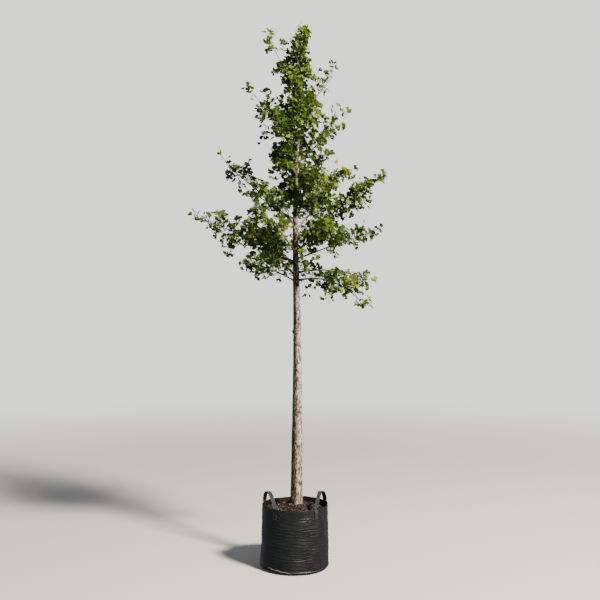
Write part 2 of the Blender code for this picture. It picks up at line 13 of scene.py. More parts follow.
import bpy
import numpy as np
from mathutils import Matrix, Vector, geometry, kdtree, noise


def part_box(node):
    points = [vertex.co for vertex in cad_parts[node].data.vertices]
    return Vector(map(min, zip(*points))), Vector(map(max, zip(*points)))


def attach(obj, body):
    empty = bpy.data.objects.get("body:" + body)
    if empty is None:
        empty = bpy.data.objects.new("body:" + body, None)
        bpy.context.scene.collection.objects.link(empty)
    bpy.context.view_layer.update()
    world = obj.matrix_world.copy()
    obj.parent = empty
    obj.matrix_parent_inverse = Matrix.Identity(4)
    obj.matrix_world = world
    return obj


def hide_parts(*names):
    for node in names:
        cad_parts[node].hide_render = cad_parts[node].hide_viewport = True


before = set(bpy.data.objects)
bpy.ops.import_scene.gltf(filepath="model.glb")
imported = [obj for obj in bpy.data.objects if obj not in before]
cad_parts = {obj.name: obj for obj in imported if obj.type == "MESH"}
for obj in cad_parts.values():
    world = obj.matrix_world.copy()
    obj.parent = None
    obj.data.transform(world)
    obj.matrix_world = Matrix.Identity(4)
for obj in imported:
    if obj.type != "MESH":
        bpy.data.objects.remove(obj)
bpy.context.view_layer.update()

BODY = "root"

# ---- Sizes of the solids that the limbs' rule needs ----

BAG_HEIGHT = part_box("bag")[1].z
BAG_RIM_RADIUS = 0.2445
BAG_WAIST_RADIUS = 0.2525
BAG_FOOT_RADIUS = 0.2475
BASE_SEAM_HEIGHT = 0.018
BASE_SEAM_RADIUS = 0.2555

SOIL_EDGE = 0.42
SOIL_TOP = 0.468
SOIL_SEAT_RADIUS = 0.062

TREE_TOP = 4.11
TRUNK_FOOT_X = 0.0105
TRUNK_RADIUS = 0.0425
TRUNK_TAPER = 0.95
TRUNK_TIP_RADIUS = 0.0018
ROOT_FLARE = 0.0045
FLARE_HEIGHT = 0.07
TRUNK_LEAN = 0.036
TRUNK_SWAY = 0.028
SWAY_HEIGHT = 2.645
SWAY_SPAN = 0.733
STUB_HEIGHT = 1.752
STUB_AZIMUTH = 185
STUB_RADIUS = 0.013
STUB_SLOPE = 0.35

PATH_STEP = 0.01
HEADING_STEP = 0.004
LIMB_RADIUS = 0.0042
LIMB_RADIUS_PER_LENGTH = 0.0068
LIMB_TIP_SHARE = 0.3
FOOT_SHARE = 0.6
LIMB_MEANDER = 7
GOLDEN_ANGLE = 137.5

SEED = 61
TWIG_STEP = 0.085
SHOOT_TWIG_STEP = 0.042
FIRST_TWIG = 0.045
TWIG_ANGLE = 52
TWIG_LIFT = 0.22
TWIG_FADE = 0.5
# Side twigs come in two sets: the rule's own, and shorter ones halfway between each pair. Each has the name
# of its draw, how many steps it is moved on, its angle off the stem, and how far it reaches.
TWIG_SETS = (("", 0, TWIG_ANGLE, (0.8, 1.1)), (" halfway", 0.5, TWIG_ANGLE + 8, (0.465, 0.713)))
# Where a twig is tested for being at home, in shares of its length, and from where for being clear.
TWIG_TESTS = (0.35, 0.7, 1.0)
TWIG_CLEAR_FROM = 0.1
LEAFY_TIP = 0.12
SPACE_MARGIN = 0.003
NEAREST_STEM_POINTS = 60
LIMB_CLEARANCE = 0.002
WOOD_STEP = 0.005


class Limb(NamedTuple):
    """One limb: the height of its foot, its azimuth, how steeply it rises there and how much that turns
    by its tip, its length, how much of that is bough without leaves, and the reach of its side twigs.
    """

    foot: float
    azimuth: float
    rise: float
    turn: float
    length: float
    bare: float
    spread: float


# The limbs that give the crown its outline to the left and right.
OUTLINE_LIMBS = (
    Limb(2.13, 196, 30, -22, 0.46, 0.12, 0.11),
    Limb(2.27, 178, 32, -14, 0.77, 0.16, 0.15),
    Limb(2.56, 174, 44, -6, 0.69, 0.15, 0.13),
    Limb(2.60, 212, 24, 4, 0.48, 0.13, 0.12),
    Limb(3.14, 172, 50, 2, 0.54, 0.12, 0.09),
    Limb(3.58, 186, 52, 10, 0.40, 0.0, 0.07),
    Limb(2.14, 334, 14, -60, 0.56, 0.12, 0.11),
    Limb(2.20, 350, 12, -36, 0.56, 0.14, 0.11),
    Limb(2.30, 8, 22, -4, 0.58, 0.15, 0.11),
    Limb(2.36, 318, 24, -10, 0.42, 0.12, 0.12),
    Limb(2.44, 358, 38, -4, 0.76, 0.16, 0.13),
    Limb(2.66, 22, 40, -6, 0.50, 0.13, 0.11),
    Limb(3.02, 8, 44, -4, 0.48, 0.12, 0.10),
    Limb(3.36, 354, 50, 0, 0.40, 0.0, 0.08),
)

# The limbs towards the front and the back follow the crown's own shape.
DEPTH_LIMBS = 7
DEPTH_LIMB_LOWEST = 2.17
DEPTH_LIMB_HIGHEST = 3.20
FRONT_AZIMUTH = 270
BACK_AZIMUTH = 90
DEPTH_SWING = 36
DEPTH_RISE = 36
DEPTH_RISE_STEP = 3
DEPTH_TURN = -8
DEPTH_BARE = 0.13
DEPTH_SPREAD = 0.11
CROWN_SLOPE = 0.37

# Short leafy shoots close round the trunk, and the ones that stand along the leader.
INNER_SHOOTS = 15
INNER_LOWEST = 2.10
INNER_HIGHEST = 3.86
INNER_CROWDING = 0.72
INNER_LENGTH = 0.30
INNER_SHORTENS = 0.5
INNER_RISE = 34
INNER_STEEPENS = 30
INNER_TURN = 14
INNER_SPREAD = 0.09
INNER_NARROWS = 0.25
INNER_FIRST_AZIMUTH = 250
LIMB_ROOM = 0.05
TURN_ON = 24

# ---- Sizes of the finer growth and the surfaces ----

# Twigs, and twiglets on them.
TWIG_SEGMENTS = 4
LONG_TWIG = 0.12
TWIG_BOW = 0.10
# How much of the bow is to one side, and how much it sags.
BOW_ASIDE = 0.5
BOW_SAG = 0.6
TWIG_ROOT_RADIUS = 0.0026
TWIG_TIP_RADIUS = 0.0012
TWIG_TIP_BLUNT = 0.6
TWIGLET_SHARES = (0.34, 0.58, 0.82)
TWIGLET_SHORTEST_TWIG = 0.05
TWIGLET_REACH = (0.030, 0.055)
TWIGLET_RADIUS = 0.0014
TWIGLET_SPLAY = 48
TWIGLET_DROOP = -0.12
TWIGLET_SEGMENTS = 2

# Spurs: stubby short shoots, each with a rosette of leaves.
SPUR_STEP = 0.023
SPUR_FIRST = 0.018
SPUR_LENGTH = (0.004, 0.009)
SPUR_RADIUS = 0.0021
SPUR_ANGLE = 66
SPUR_LIFT = 0.25
SPURS_OFF_TRUNK = 0.012
TIP_BUD = 0.003
LEADER_SPUR_STEP = 0.026
LEADER_LOWEST = 2.70
LEADER_BARE_TIP = 0.075
BOUGH_SPUR_STEP = 0.028
BOUGH_SPUR_FIRST = 0.01
STEM_SPUR_FIRST = 0.008
# How far a spur strays from its even place, in steps.
SPUR_STRAY = 0.2
# How deep it starts, in shares of the wood's radius, and its radii from root to end, in shares.
SPUR_SUNK = 0.6
SPUR_SHAPE = (1, 0.85, 1.1)
# How many leaves a spur may have, by the wood that it stands on.
BOUGH_LEAVES = (3, 4, 5)
STEM_LEAVES = (4, 5, 6)
TWIG_LEAVES = (3, 3, 4)
TWIGLET_LEAVES = (2, 3)
SHOOT_TIP_LEAVES = (2, 3)
LIMB_TIP_LEAVES = 5
LEADER_LEAVES = (3, 4, 5)

# The shaded inside of the crown's foot has shed most of its leaves: none is left this near to the
# trunk's axis, and all from this far.
SHED_WITHIN = 0.02
SHED_BEYOND = 0.12
SHED_HIGHEST = 2.58

# A thin place among the leaves, which lets the light in on the boughs below it: its centre, its reach
# and the share of spurs that stay.
THIN_PLACE = Vector((-0.14, -0.15, 2.72))
THIN_REACH = 0.15
THIN_KEPT = 0.42

# Open places between the limbs, seen from the front, where no leaf grows: x, z and radius.
AIR = (
    (0.245, 2.32, 0.04), (0.376, 2.281, 0.06), (0.324, 2.371, 0.03), (0.203, 2.371, 0.038),
    (-0.18, 3.799, 0.06), (-0.105, 3.829, 0.045), (-0.135, 3.92, 0.03), (-0.045, 3.9, 0.028),
    (-0.105, 3.589, 0.038), (0.264, 3.619, 0.045), (0.188, 3.514, 0.038), (0.309, 3.694, 0.038),
    (0.143, 3.98, 0.038), (0.128, 3.769, 0.03), (0.286, 3.16, 0.053), (0.241, 3.017, 0.038),
    (0.331, 3.341, 0.038), (-0.2, 3.125, 0.04), (-0.18, 3.01, 0.03), (-0.18, 3.318, 0.03),
    (-0.368, 2.724, 0.053), (-0.428, 2.777, 0.03), (-0.188, 2.844, 0.03), (-0.721, 2.536, 0.06),
    (-0.443, 2.311, 0.045), (-0.215, 2.11, 0.045), (-0.353, 2.371, 0.03), (-0.142, 2.175, 0.023),
    (0.632, 2.822, 0.06), (0.436, 2.581, 0.038), (0.549, 2.581, 0.03), (0.504, 2.393, 0.038),
    (-0.526, 3.002, 0.038), (-0.556, 2.942, 0.03), (-0.413, 3.025, 0.03), (-0.323, 3.002, 0.023),
    (-0.36, 3.521, 0.038), (-0.27, 3.514, 0.045), (-0.203, 3.341, 0.03), (-0.045, 2.626, 0.038),
    (-0.06, 2.506, 0.023), (0.414, 1.995, 0.045), (0.587, 2.1, 0.038), (0.324, 2.025, 0.03),
    (0.226, 2.408, 0.03), (0.286, 2.807, 0.023), (-0.338, 2.837, 0.03), (-0.391, 2.882, 0.023),
    (-0.248, 2.747, 0.03), (-0.518, 2.521, 0.03), (-0.428, 2.536, 0.023), (-0.188, 2.634, 0.03),
    (-0.624, 2.604, 0.023), (0.106, 3.198, 0.023), (-0.037, 2.078, 0.03), (0.248, 2.266, 0.045),
    (0.339, 2.995, 0.03), (0.143, 3.724, 0.03), (-0.233, 3.98, 0.023), (0.451, 2.611, 0.03),
    (-0.165, 3.754, 0.03), (0.083, 2.311, 0.023), (-0.112, 3.198, 0.023), (0.467, 2.221, 0.03),
    (-0.571, 2.476, 0.023), (-0.278, 2.822, 0.023), (-0.127, 2.822, 0.023), (0.376, 2.393, 0.03),
    (0.121, 4.047, 0.03), (0.286, 3.07, 0.03), (0.188, 3.686, 0.03), (-0.639, 2.664, 0.023),
    (0.128, 3.153, 0.023), (0.166, 3.228, 0.023), (0.279, 2.251, 0.035), (0.354, 2.236, 0.035),
    (0.429, 2.236, 0.035), (0.504, 2.236, 0.035), (0.414, 2.559, 0.03), (0.489, 2.566, 0.03),
    (0.542, 2.544, 0.03), (0.12, 3.93, 0.03), (-0.233, 3.905, 0.023), (-0.173, 3.95, 0.02),
    (0.218, 3.42, 0.03), (-0.37, 3.045, 0.025), (-0.39, 2.335, 0.03), (-0.59, 2.69, 0.025),
)

# Single sprigs that stand out from the crown: the limb, the share of its length where one leaves it,
# and x, z of its tip, seen from the front.
SPRIGS = (
    ("foliage_05", 0.8, -0.503, 2.378), ("foliage_05", 0.5, -0.338, 2.378),
    ("foliage_05", 0.97, -0.736, 2.626), ("foliage_18", 0.42, -0.105, 3.483),
    ("foliage_18", 0.3, -0.075, 3.461), ("foliage_18", 0.96, -0.353, 3.581),
    ("foliage_02", 0.1, 0.083, 2.07), ("foliage_02", 0.14, 0.113, 2.1), ("foliage_02", 0.08, 0.061, 2.048),
    ("foliage_02", 0.55, 0.241, 2.01), ("foliage_02", 0.96, 0.549, 1.98),
    ("foliage_09", 0.88, 0.519, 2.724), ("foliage_04", 0.88, 0.512, 2.1),
    ("foliage_11", 0.98, -0.541, 3.063), ("foliage_21", 0.97, -0.195, 3.98),
    ("foliage_20", 0.96, 0.279, 3.732), ("foliage_20", 0.25, 0.113, 3.626),
    ("foliage_17", 0.9, -0.218, 3.296), ("foliage_15", 0.9, -0.233, 3.183),
    ("foliage_16", 0.97, 0.376, 3.386), ("foliage_16", 0.9, 0.309, 3.416),
    ("foliage_16", 0.4, 0.151, 3.288), ("foliage_06", 0.97, 0.609, 2.529),
    ("foliage_13", 0.95, 0.421, 2.957), ("foliage_09", 0.98, 0.639, 2.927),
    ("foliage_12", 0.6, -0.172, 2.882), ("foliage_07", 0.8, -0.338, 2.551),
    ("foliage_21", 0.45, -0.088, 3.895), ("foliage_18", 0.6, -0.21, 3.535),
    ("foliage_06", 0.42, 0.285, 2.355), ("foliage_06", 0.55, 0.34, 2.355),
    ("foliage_01", 0.35, -0.165, 2.16),
)

# The front of the crown is open on the stem up to this height, this far to each side.
STEM_SHOWN_TO = 2.66
STEM_SHOWN_WIDTH = 0.024
# The sun reaches the top of the bare stem between these heights, this far to each side.
STEM_LIT_FROM = 1.84
STEM_LIT_TO = 2.08
STEM_LIT_WIDTH = 0.032

# Leaves. The blade is a fan of unit length, which is scaled for each leaf.
LEAF_LENGTH = (0.023, 0.035)
LEAF_HALF_ANGLE = 60
STALK_LENGTH = (0.016, 0.036)
STALK_RADIUS = 0.0007
STALK_DROOP = (-0.25, 0.35)
STALK_SPLAY = (12, 68)
STALK_ROLL = 25
# The stalk up to its bend and beyond, in shares of its length, and its radii, in shares.
STALK_PARTS = (0.55, 0.5)
STALK_SHAPE = (1.3, 1, 1)
STALK_INTO_LEAF = 0.002
LEAF_STRAY = 0.35
LEAF_FACING = 0.35
LEAF_TO_LIGHT = 0.9
LEAF_UPWARD = 0.45
# Shoots end in larger leaves that face the light squarely.
TIP_LEAF_SIZE = 1.22
TIP_LEAF_TO_LIGHT = 1.5
LEAF_TRIES = 5
LEAF_WOOD_GAP = 0.003

# Trunk bark.
BARK_RINGS = 620
BARK_SIDES = 56
TRUNK_SUNK = 0.03
BARK_EASE = 1.04
LIMB_SIDES = 12
LIMB_RING_STEP = 0.008

# Bag.
BAG_SIDES = 320
WALL_ROWS = 150
BAG_THICKNESS = 0.0016
HEM_HEIGHT = 0.024
INSIDE_DEPTH = 0.07

# Handles.
HANDLE_LEGS = {"handle_left": (159.5, 234), "handle_right": (309.5, 382)}
SEWN_LEGS = tuple(leg for legs in HANDLE_LEGS.values() for leg in legs)
HANDLE_LEAN = {"handle_left": 0.008, "handle_right": 0.0}
# How soon the webbing turns above a leg at the back and at the front.
HANDLE_TURNED = {"back": 0.12, "front": 0.34}
HANDLE_PEAK = 1.4
STRAP_WIDTH = 0.031
STRAP_THICKNESS = 0.0025
STRAP_EASE = 0.0022
HANDLE_RISE = 0.103
HANDLE_SEWN = 0.072
HANDLE_ARCH_SHARES = (0, 0.03, *(k / 12 for k in range(1, 12)), 0.97, 1)

# ---- The limbs' rule ----


def depth_limbs():
    """Limbs by rule, in turn to the front and the back, shorter the higher they stand."""
    found = []
    for k in range(DEPTH_LIMBS):
        foot = DEPTH_LIMB_LOWEST + (DEPTH_LIMB_HIGHEST - DEPTH_LIMB_LOWEST) * k / (DEPTH_LIMBS - 1)
        side = FRONT_AZIMUTH if k % 2 else BACK_AZIMUTH
        swing = DEPTH_SWING if k % 4 in (0, 3) else -DEPTH_SWING
        length = CROWN_SLOPE * (TREE_TOP - foot)
        rise = DEPTH_RISE + DEPTH_RISE_STEP * k
        found.append(Limb(foot, side + swing, rise, DEPTH_TURN, length, DEPTH_BARE, DEPTH_SPREAD))
    return found


def inner_shoots(boughs):
    """Leafy shoots by the golden angle up the trunk, closer, shorter and steeper towards the tip.

    One that would grow into another limb is turned on until it has room.
    """
    found = []
    for k in range(INNER_SHOOTS):
        share = k / (INNER_SHOOTS - 1)
        foot = INNER_LOWEST + (INNER_HIGHEST - INNER_LOWEST) * share**INNER_CROWDING
        azimuth = INNER_FIRST_AZIMUTH + GOLDEN_ANGLE * k
        rise = INNER_RISE + INNER_STEEPENS * share
        length = INNER_LENGTH * (1 - INNER_SHORTENS * share)
        spread = INNER_SPREAD * (1 - INNER_NARROWS * share)
        shoot = Limb(foot, azimuth, rise, INNER_TURN, length, 0.0, spread)
        others = [*boughs, *found]
        turns = [shoot._replace(azimuth=shoot.azimuth + TURN_ON * n) for n in range(int(360 / TURN_ON))]
        found.append(next((turned_on for turned_on in turns if has_room(turned_on, others)), shoot))
    return found


def has_room(limb, others):
    """True where the limb's axis stays LIMB_ROOM away from every other limb's, outside the trunk."""
    own = [limb_point(limb, LIMB_ROOM * k) for k in range(1, int(limb.length / LIMB_ROOM) + 1)]
    for other in others:
        if abs(other.foot - limb.foot) > limb.length + other.length:
            continue
        for k in range(1, int(other.length / LIMB_ROOM) + 1):
            point = limb_point(other, LIMB_ROOM * k)
            if any((point - near).length < LIMB_ROOM for near in own):
                return False
    return True


def trunk_centre(height):
    """The trunk's axis: a slight lean, and a sway to the left where it enters the crown."""
    climb = (height - SOIL_TOP) / (TREE_TOP - SOIL_TOP)
    sway = math.exp(-(((height - SWAY_HEIGHT) / SWAY_SPAN) ** 2))
    return Vector((TRUNK_FOOT_X + TRUNK_LEAN * climb - TRUNK_SWAY * sway, 0.5 * TRUNK_SWAY * sway, height))


def trunk_radius(height):
    climb = min(1, (height - SOIL_TOP) / (TREE_TOP - SOIL_TOP))
    flare = ROOT_FLARE * math.exp(-(height - SOIL_TOP) / FLARE_HEIGHT)
    return max(TRUNK_TIP_RADIUS, TRUNK_RADIUS * (1 - climb) ** TRUNK_TAPER) + flare


def limb_radius(limb, distance):
    base = min(LIMB_RADIUS + LIMB_RADIUS_PER_LENGTH * limb.length, FOOT_SHARE * trunk_radius(limb.foot))
    return base * (1 - (1 - LIMB_TIP_SHARE) * distance / limb.length)


@functools.cache
def limb_path(limb):
    """Points every PATH_STEP along the limb's axis, from the trunk's axis to just beyond its tip."""
    points = [trunk_centre(limb.foot)]
    for k in range(math.ceil(limb.length / PATH_STEP) + 1):
        along = (k + 0.5) * PATH_STEP / limb.length
        slope = math.radians(limb.rise + limb.turn * along)
        bend = LIMB_MEANDER * math.sin(2 * math.pi * along + limb.azimuth)
        heading = math.radians(limb.azimuth + bend)
        level = Vector((math.cos(heading), math.sin(heading), 0))
        points.append(points[-1] + (level * math.cos(slope) + Vector((0, 0, math.sin(slope)))) * PATH_STEP)
    return points


def limb_point(limb, distance):
    """A point on the limb's axis, distance along it from the trunk's axis."""
    place = max(0, distance / PATH_STEP)
    points = limb_path(limb)
    k = min(int(place), len(points) - 2)
    return points[k].lerp(points[k + 1], place - k)


def limb_heading(limb, distance):
    ahead = limb_point(limb, distance + HEADING_STEP)
    return (ahead - limb_point(limb, distance - HEADING_STEP)).normalized()


def swung(along, splay, roll):
    """A direction splay degrees off along, turned roll degrees round it."""
    side = along.orthogonal().normalized()
    side.rotate(Matrix.Rotation(math.radians(roll), 3, along))
    angle = math.radians(splay)
    return (along * math.cos(angle) + side * math.sin(angle)).normalized()


def twigs_of(name, limb):
    """(root, tip) of each side twig of a mass, by the golden angle along its stem."""
    first = limb.bare + TWIG_STEP / 2 if limb.bare else FIRST_TWIG
    step = TWIG_STEP if limb.bare else SHOOT_TWIG_STEP
    twigs = []
    for label, moved_on, angle, reach in TWIG_SETS:
        draw = random.Random(f"{name}{label} {SEED}")
        start = first + moved_on * step
        leafy = limb.length - start
        phase = draw.uniform(0, 360)
        for k in range(int(leafy / step + 0.5)):
            distance = start + k * step
            root = limb_point(limb, distance)
            out = swung(limb_heading(limb, distance), angle, phase + GOLDEN_ANGLE * k)
            out = (out + Vector((0, 0, TWIG_LIFT))).normalized()
            fade = 1 - TWIG_FADE * (distance - start) / leafy
            twigs.append((root, root + out * limb.spread * fade * draw.uniform(*reach)))
    return twigs


class Crown:
    """Which mass a point belongs to, and how near the limbs' wood is."""

    def __init__(self, limbs):
        self.stems = kdtree.KDTree(sum(len(self.stem_points(limb)) for limb in limbs.values()))
        self.owners = []
        for name, limb in limbs.items():
            for point in self.stem_points(limb):
                self.stems.insert(point, len(self.owners))
                self.owners.append(name)
        self.stems.balance()
        wood = list(self.wood_points(limbs))
        self.wood = kdtree.KDTree(len(wood))
        self.wood_radii = [radius for _, radius in wood]
        for k, (point, _) in enumerate(wood):
            self.wood.insert(point, k)
        self.wood.balance()

    def stem_points(self, limb):
        leafy = limb.length - limb.bare
        count = int(leafy / (2 * PATH_STEP))
        return [limb_point(limb, limb.bare + leafy * k / count) for k in range(count + 1)]

    def wood_points(self, limbs):
        """Points close together down the trunk and each bough, with the wood's radius there."""
        lowest = min(limb.foot for limb in limbs.values()) - LEAFY_TIP
        for k in range(int((TREE_TOP - lowest) / WOOD_STEP) + 1):
            height = lowest + WOOD_STEP * k
            yield trunk_centre(height), trunk_radius(height)
        for limb in limbs.values():
            for k in range(int(limb.bare / WOOD_STEP) + 1):
                yield limb_point(limb, WOOD_STEP * k), limb_radius(limb, WOOD_STEP * k)

    def is_home(self, name, point):
        """True where the point is nearer to this mass's own stem than to any other, with some to spare."""
        own = None
        for _, index, distance in self.stems.find_n(point, NEAREST_STEM_POINTS):
            if self.owners[index] == name:
                own = distance if own is None else own
                continue
            if own is None:
                return False
            return distance > own + SPACE_MARGIN
        return own is not None

    def is_clear(self, triangle):
        """True where the triangle stays off the trunk and the boughs."""
        middle = (triangle[0] + triangle[1] + triangle[2]) / 3
        reach = max((corner - middle).length for corner in triangle) + TRUNK_RADIUS
        for point, index, _ in self.wood.find_range(middle, reach):
            nearest = geometry.closest_point_on_tri(point, *triangle)
            if (nearest - point).length < self.wood_radii[index] + LIMB_CLEARANCE:
                return False
        return True

    def takes_twig(self, name, root, tip):
        tests = [root.lerp(tip, share) for share in TWIG_TESTS]
        if not all(self.is_home(name, point) for point in tests):
            return False
        return self.is_clear((root.lerp(tip, TWIG_CLEAR_FROM), tip, tip))

    def is_off_wood(self, points):
        """True where every point keeps a leaf's gap to the nearest wood."""
        for point in points:
            _, index, distance = self.wood.find(point)
            if distance < self.wood_radii[index] + LEAF_WOOD_GAP:
                return False
        return True


def named_limbs():
    """Each limb by the name of its mass of foliage, the lowest first."""
    boughs = sorted([*OUTLINE_LIMBS, *depth_limbs()])
    names = {f"foliage_{k:02d}": limb for k, limb in enumerate(boughs, 1)}
    names.update({f"foliage_inner_{k:02d}": limb for k, limb in enumerate(inner_shoots(boughs), 1)})
    return names


# ---- Meshes from arrays ----


def new_object(name, data):
    """An object in the scene that shows the data."""
    made = bpy.data.objects.new(name, data)
    bpy.context.scene.collection.objects.link(made)
    return made


def new_mesh(name, points, faces, finish, smooth=True):
    """An object in the scene with a mesh of these points and faces."""
    mesh = bpy.data.meshes.new(name)
    mesh.from_pydata(points, [], faces)
    if smooth:
        mesh.shade_smooth()
    mesh.materials.append(finish)
    return new_object(name, mesh)


class Heap:
    """Points and triangles of many small shapes that become one mesh."""

    def __init__(self):
        self.points = []
        self.triangles = []
        self.uvs = []
        self.count = 0

    def add(self, points, triangles, uvs=None):
        self.points.append(np.asarray(points, float))
        self.triangles.append(np.asarray(triangles, int) + self.count)
        if uvs is not None:
            self.uvs.append(uvs)
        self.count += len(points)
        return self

    def piece(self, name, finish, slot, nodes=(), smooth=True):
        """Makes the heap one piece that rides on the body and stands for the nodes."""
        triangles = np.concatenate(self.triangles)
        made = new_mesh(name, np.concatenate(self.points).tolist(), triangles.tolist(), finish, smooth)
        if self.uvs:
            layer = made.data.uv_layers.new(name="surface")
            layer.data.foreach_set("uv", np.concatenate(self.uvs)[triangles].ravel())
        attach(made, BODY)
        if nodes:
            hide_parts(*nodes)


def grid_triangles(rings, sides):
    """Two triangles for each field of a grid whose points run round ring after ring."""
    ring = np.arange(rings - 1)[:, None] * sides
    side = np.arange(sides)[None, :]
    after = (side + 1) % sides
    a, b = ring + side, ring + after
    c, d = b + sides, a + sides
    return np.concatenate([np.stack(t, -1).reshape(-1, 3) for t in ((a, b, c), (a, c, d))])


def cap_triangles(first, sides, middle, outward):
    """A fan from a middle point to a ring, facing the way that outward says."""
    ring = first + np.arange(sides)
    after = first + (np.arange(sides) + 1) % sides
    centre = np.full(sides, middle)
    return np.stack([centre, ring, after] if outward else [centre, after, ring], -1)


def closed_triangles(rings, sides):
    """A grid with a cap at both ends. The two middle points come after the rings, the first end's first."""
    count = rings * sides
    first_cap = cap_triangles(0, sides, count, False)
    last_cap = cap_triangles(count - sides, sides, count + 1, True)
    return np.concatenate([grid_triangles(rings, sides), first_cap, last_cap])


def circle(sides):
    """The angles, in radians, of points evenly round a circle."""
    return np.arange(sides) * 2 * math.pi / sides


def round_points(angles, radii, heights):
    """Points round +Z at angles, radii and heights that are arrays of one shape."""
    return np.stack([np.cos(angles) * radii, np.sin(angles) * radii, heights], -1)


def unit_rows(rows):
    return rows / np.linalg.norm(rows, axis=1)[:, None]


def tube(path, radii, sides):
    """(points, triangles) of a round tube along the path with its ends closed to a point."""
    path = np.asarray(path, float)
    tangents = unit_rows(np.gradient(path, axis=0))
    side = np.array(Vector(tangents[0]).orthogonal().normalized())
    angles = circle(sides)
    rings = []
    for point, tangent, radius in zip(path, tangents, radii):
        side = side - tangent * side.dot(tangent)
        side /= np.linalg.norm(side)
        other = np.cross(tangent, side)
        rings.append(point + radius * (np.cos(angles)[:, None] * side + np.sin(angles)[:, None] * other))
    return np.concatenate([*rings, path[:1], path[-1:]]), closed_triangles(len(path), sides)


def fractal(points, scale, octaves=3):
    """Fractal noise, about -1 to 1, at each point; scale is features per metre along each axis."""
    placed = np.asarray(points, float) * np.asarray(scale, float)
    return np.array([noise.fractal(Vector(p), 1.0, 2.0, octaves) for p in placed])


def fractal_grid(points, scale, octaves=3):
    """Fractal noise at each point of a grid, as an array of the grid's shape."""
    return fractal(points.reshape(-1, 3), scale, octaves).reshape(points.shape[:-1])


def smoothstep(low, high, values):
    share = np.clip((values - low) / (high - low), 0, 1)
    return share * share * (3 - 2 * share)


# ---- Materials ----


def linear(colour):
    """An sRGB hex colour as linear RGBA."""
    parts = [int(colour[k : k + 2], 16) / 255 for k in (1, 3, 5)]
    return (*(c / 12.92 if c <= 0.04045 else ((c + 0.055) / 1.055) ** 2.4 for c in parts), 1)


def add_node(tree, kind, inputs=None, stops=(), **settings):
    """Adds a shader node with its settings, and returns its outputs. Each input gets a value, or a link
    from another node's output, and a colour ramp gets its stops: (place, hex colour).
    """
    made = tree.nodes.new("ShaderNode" + kind)
    for name, value in settings.items():
        setattr(made, name, value)
    for socket, given in (inputs or {}).items():
        if isinstance(given, bpy.types.NodeSocket):
            tree.links.new(given, made.inputs[socket])
        else:
            made.inputs[socket].default_value = given
    for k, (place, colour) in enumerate(stops):
        stop = made.color_ramp.elements[k] if k < 2 else made.color_ramp.elements.new(place)
        stop.position = place
        stop.color = linear(colour)
    return made.outputs


def new_material(name):
    """(material, node tree, texture coordinates) of a material without a surface."""
    made = bpy.data.materials.new(name)
    made.use_nodes = True
    made.node_tree.nodes.clear()
    return made, made.node_tree, add_node(made.node_tree, "TexCoord")


def finished(made, shader):
    """The material with the shader on its surface."""
    add_node(made.node_tree, "OutputMaterial", {"Surface": shader})
    return made


# Real veins stand 0.5 mm apart, so these are four times as coarse.
LEAF_VEINS = 170.0


def leaf_material(name, dark, light, glow):
    """Living ginkgo leaf: a thin waxy blade with a satin face, fine veins that fan out from the
    stalk, and light that glows through it. Its tone drifts a little from leaf to leaf.
    """
    made, tree, place = new_material(name)
    patch = add_node(tree, "TexNoise", {"Vector": place["Object"], "Scale": 22.0, "Detail": 2.0})
    tone = add_node(tree, "ValToRGB", {"Fac": patch["Fac"]}, ((0.35, dark), (0.65, light)))
    across = add_node(tree, "SeparateXYZ", {"Vector": place["UV"]})
    fan = add_node(tree, "Math", {0: across["X"], 1: LEAF_VEINS}, operation="MULTIPLY")
    veins = add_node(tree, "Math", {0: fan["Value"]}, operation="SINE")
    bump = add_node(tree, "Bump", {"Height": veins["Value"], "Strength": 0.25, "Distance": 0.0004})
    look = {"Base Color": tone["Color"], "Normal": bump["Normal"]}
    look.update({"Roughness": 0.46, "IOR": 1.45, "Specular IOR Level": 0.38})
    face = add_node(tree, "BsdfPrincipled", look)
    through = add_node(tree, "BsdfTranslucent", {"Color": linear(glow)})
    both = add_node(tree, "MixShader", {"Fac": 0.30, 1: face["BSDF"], 2: through["BSDF"]})
    return finished(made, both["Shader"])


def stalk_material():
    """Leaf stalk: smooth and waxy, yellow green."""
    made, tree, place = new_material("ginkgo_leaf_stalk")
    patch = add_node(tree, "TexNoise", {"Vector": place["Object"], "Scale": 30.0})
    tone = add_node(tree, "ValToRGB", {"Fac": patch["Fac"]}, ((0.3, "#6f8438"), (0.7, "#9aa654")))
    look = {"Base Color": tone["Color"], "Roughness": 0.5, "IOR": 1.45}
    face = add_node(tree, "BsdfPrincipled", look)
    return finished(made, face["BSDF"])


# Fissures stand about 12 mm apart and run three times as long.
FISSURES_PER_METRE = (78.0, 78.0, 28.0)
CORKY_BARK = ((0.38, "#433d36"), (0.46, "#948b7e"), (0.53, "#d4cabb"), (0.64, "#efe7d9"))
# The slim bark above is smoother, as young bark is, and its darker tones are painted shade of the crown.
SLIM_BARK_PAINTED_SHADE = ((0.38, "#38332d"), (0.47, "#787167"), (0.56, "#b4ab9d"), (0.68, "#d9d1c3"))
# Mottling of 5 mm patches, drawn at 9 mm.
MOTTLE_PER_METRE = 95.0
# Dark pores. Real ones are 3 to 5 mm across, and these are drawn at 8 mm.
PORES_PER_METRE = 66.0
PORES_WANDER = (0.034, 0.034, 0.018)
# Painted shade on the bark: the side away from the sun that it darkens, and its tone.
PAINTED_SHADE_SIDE = (-0.88, -0.34, 0.0)
PAINTED_SHADE_TONE = "#8c8983"
# Splashed soil browns the foot of the stem.
SOIL_SPLASH = "#e9dfd8"


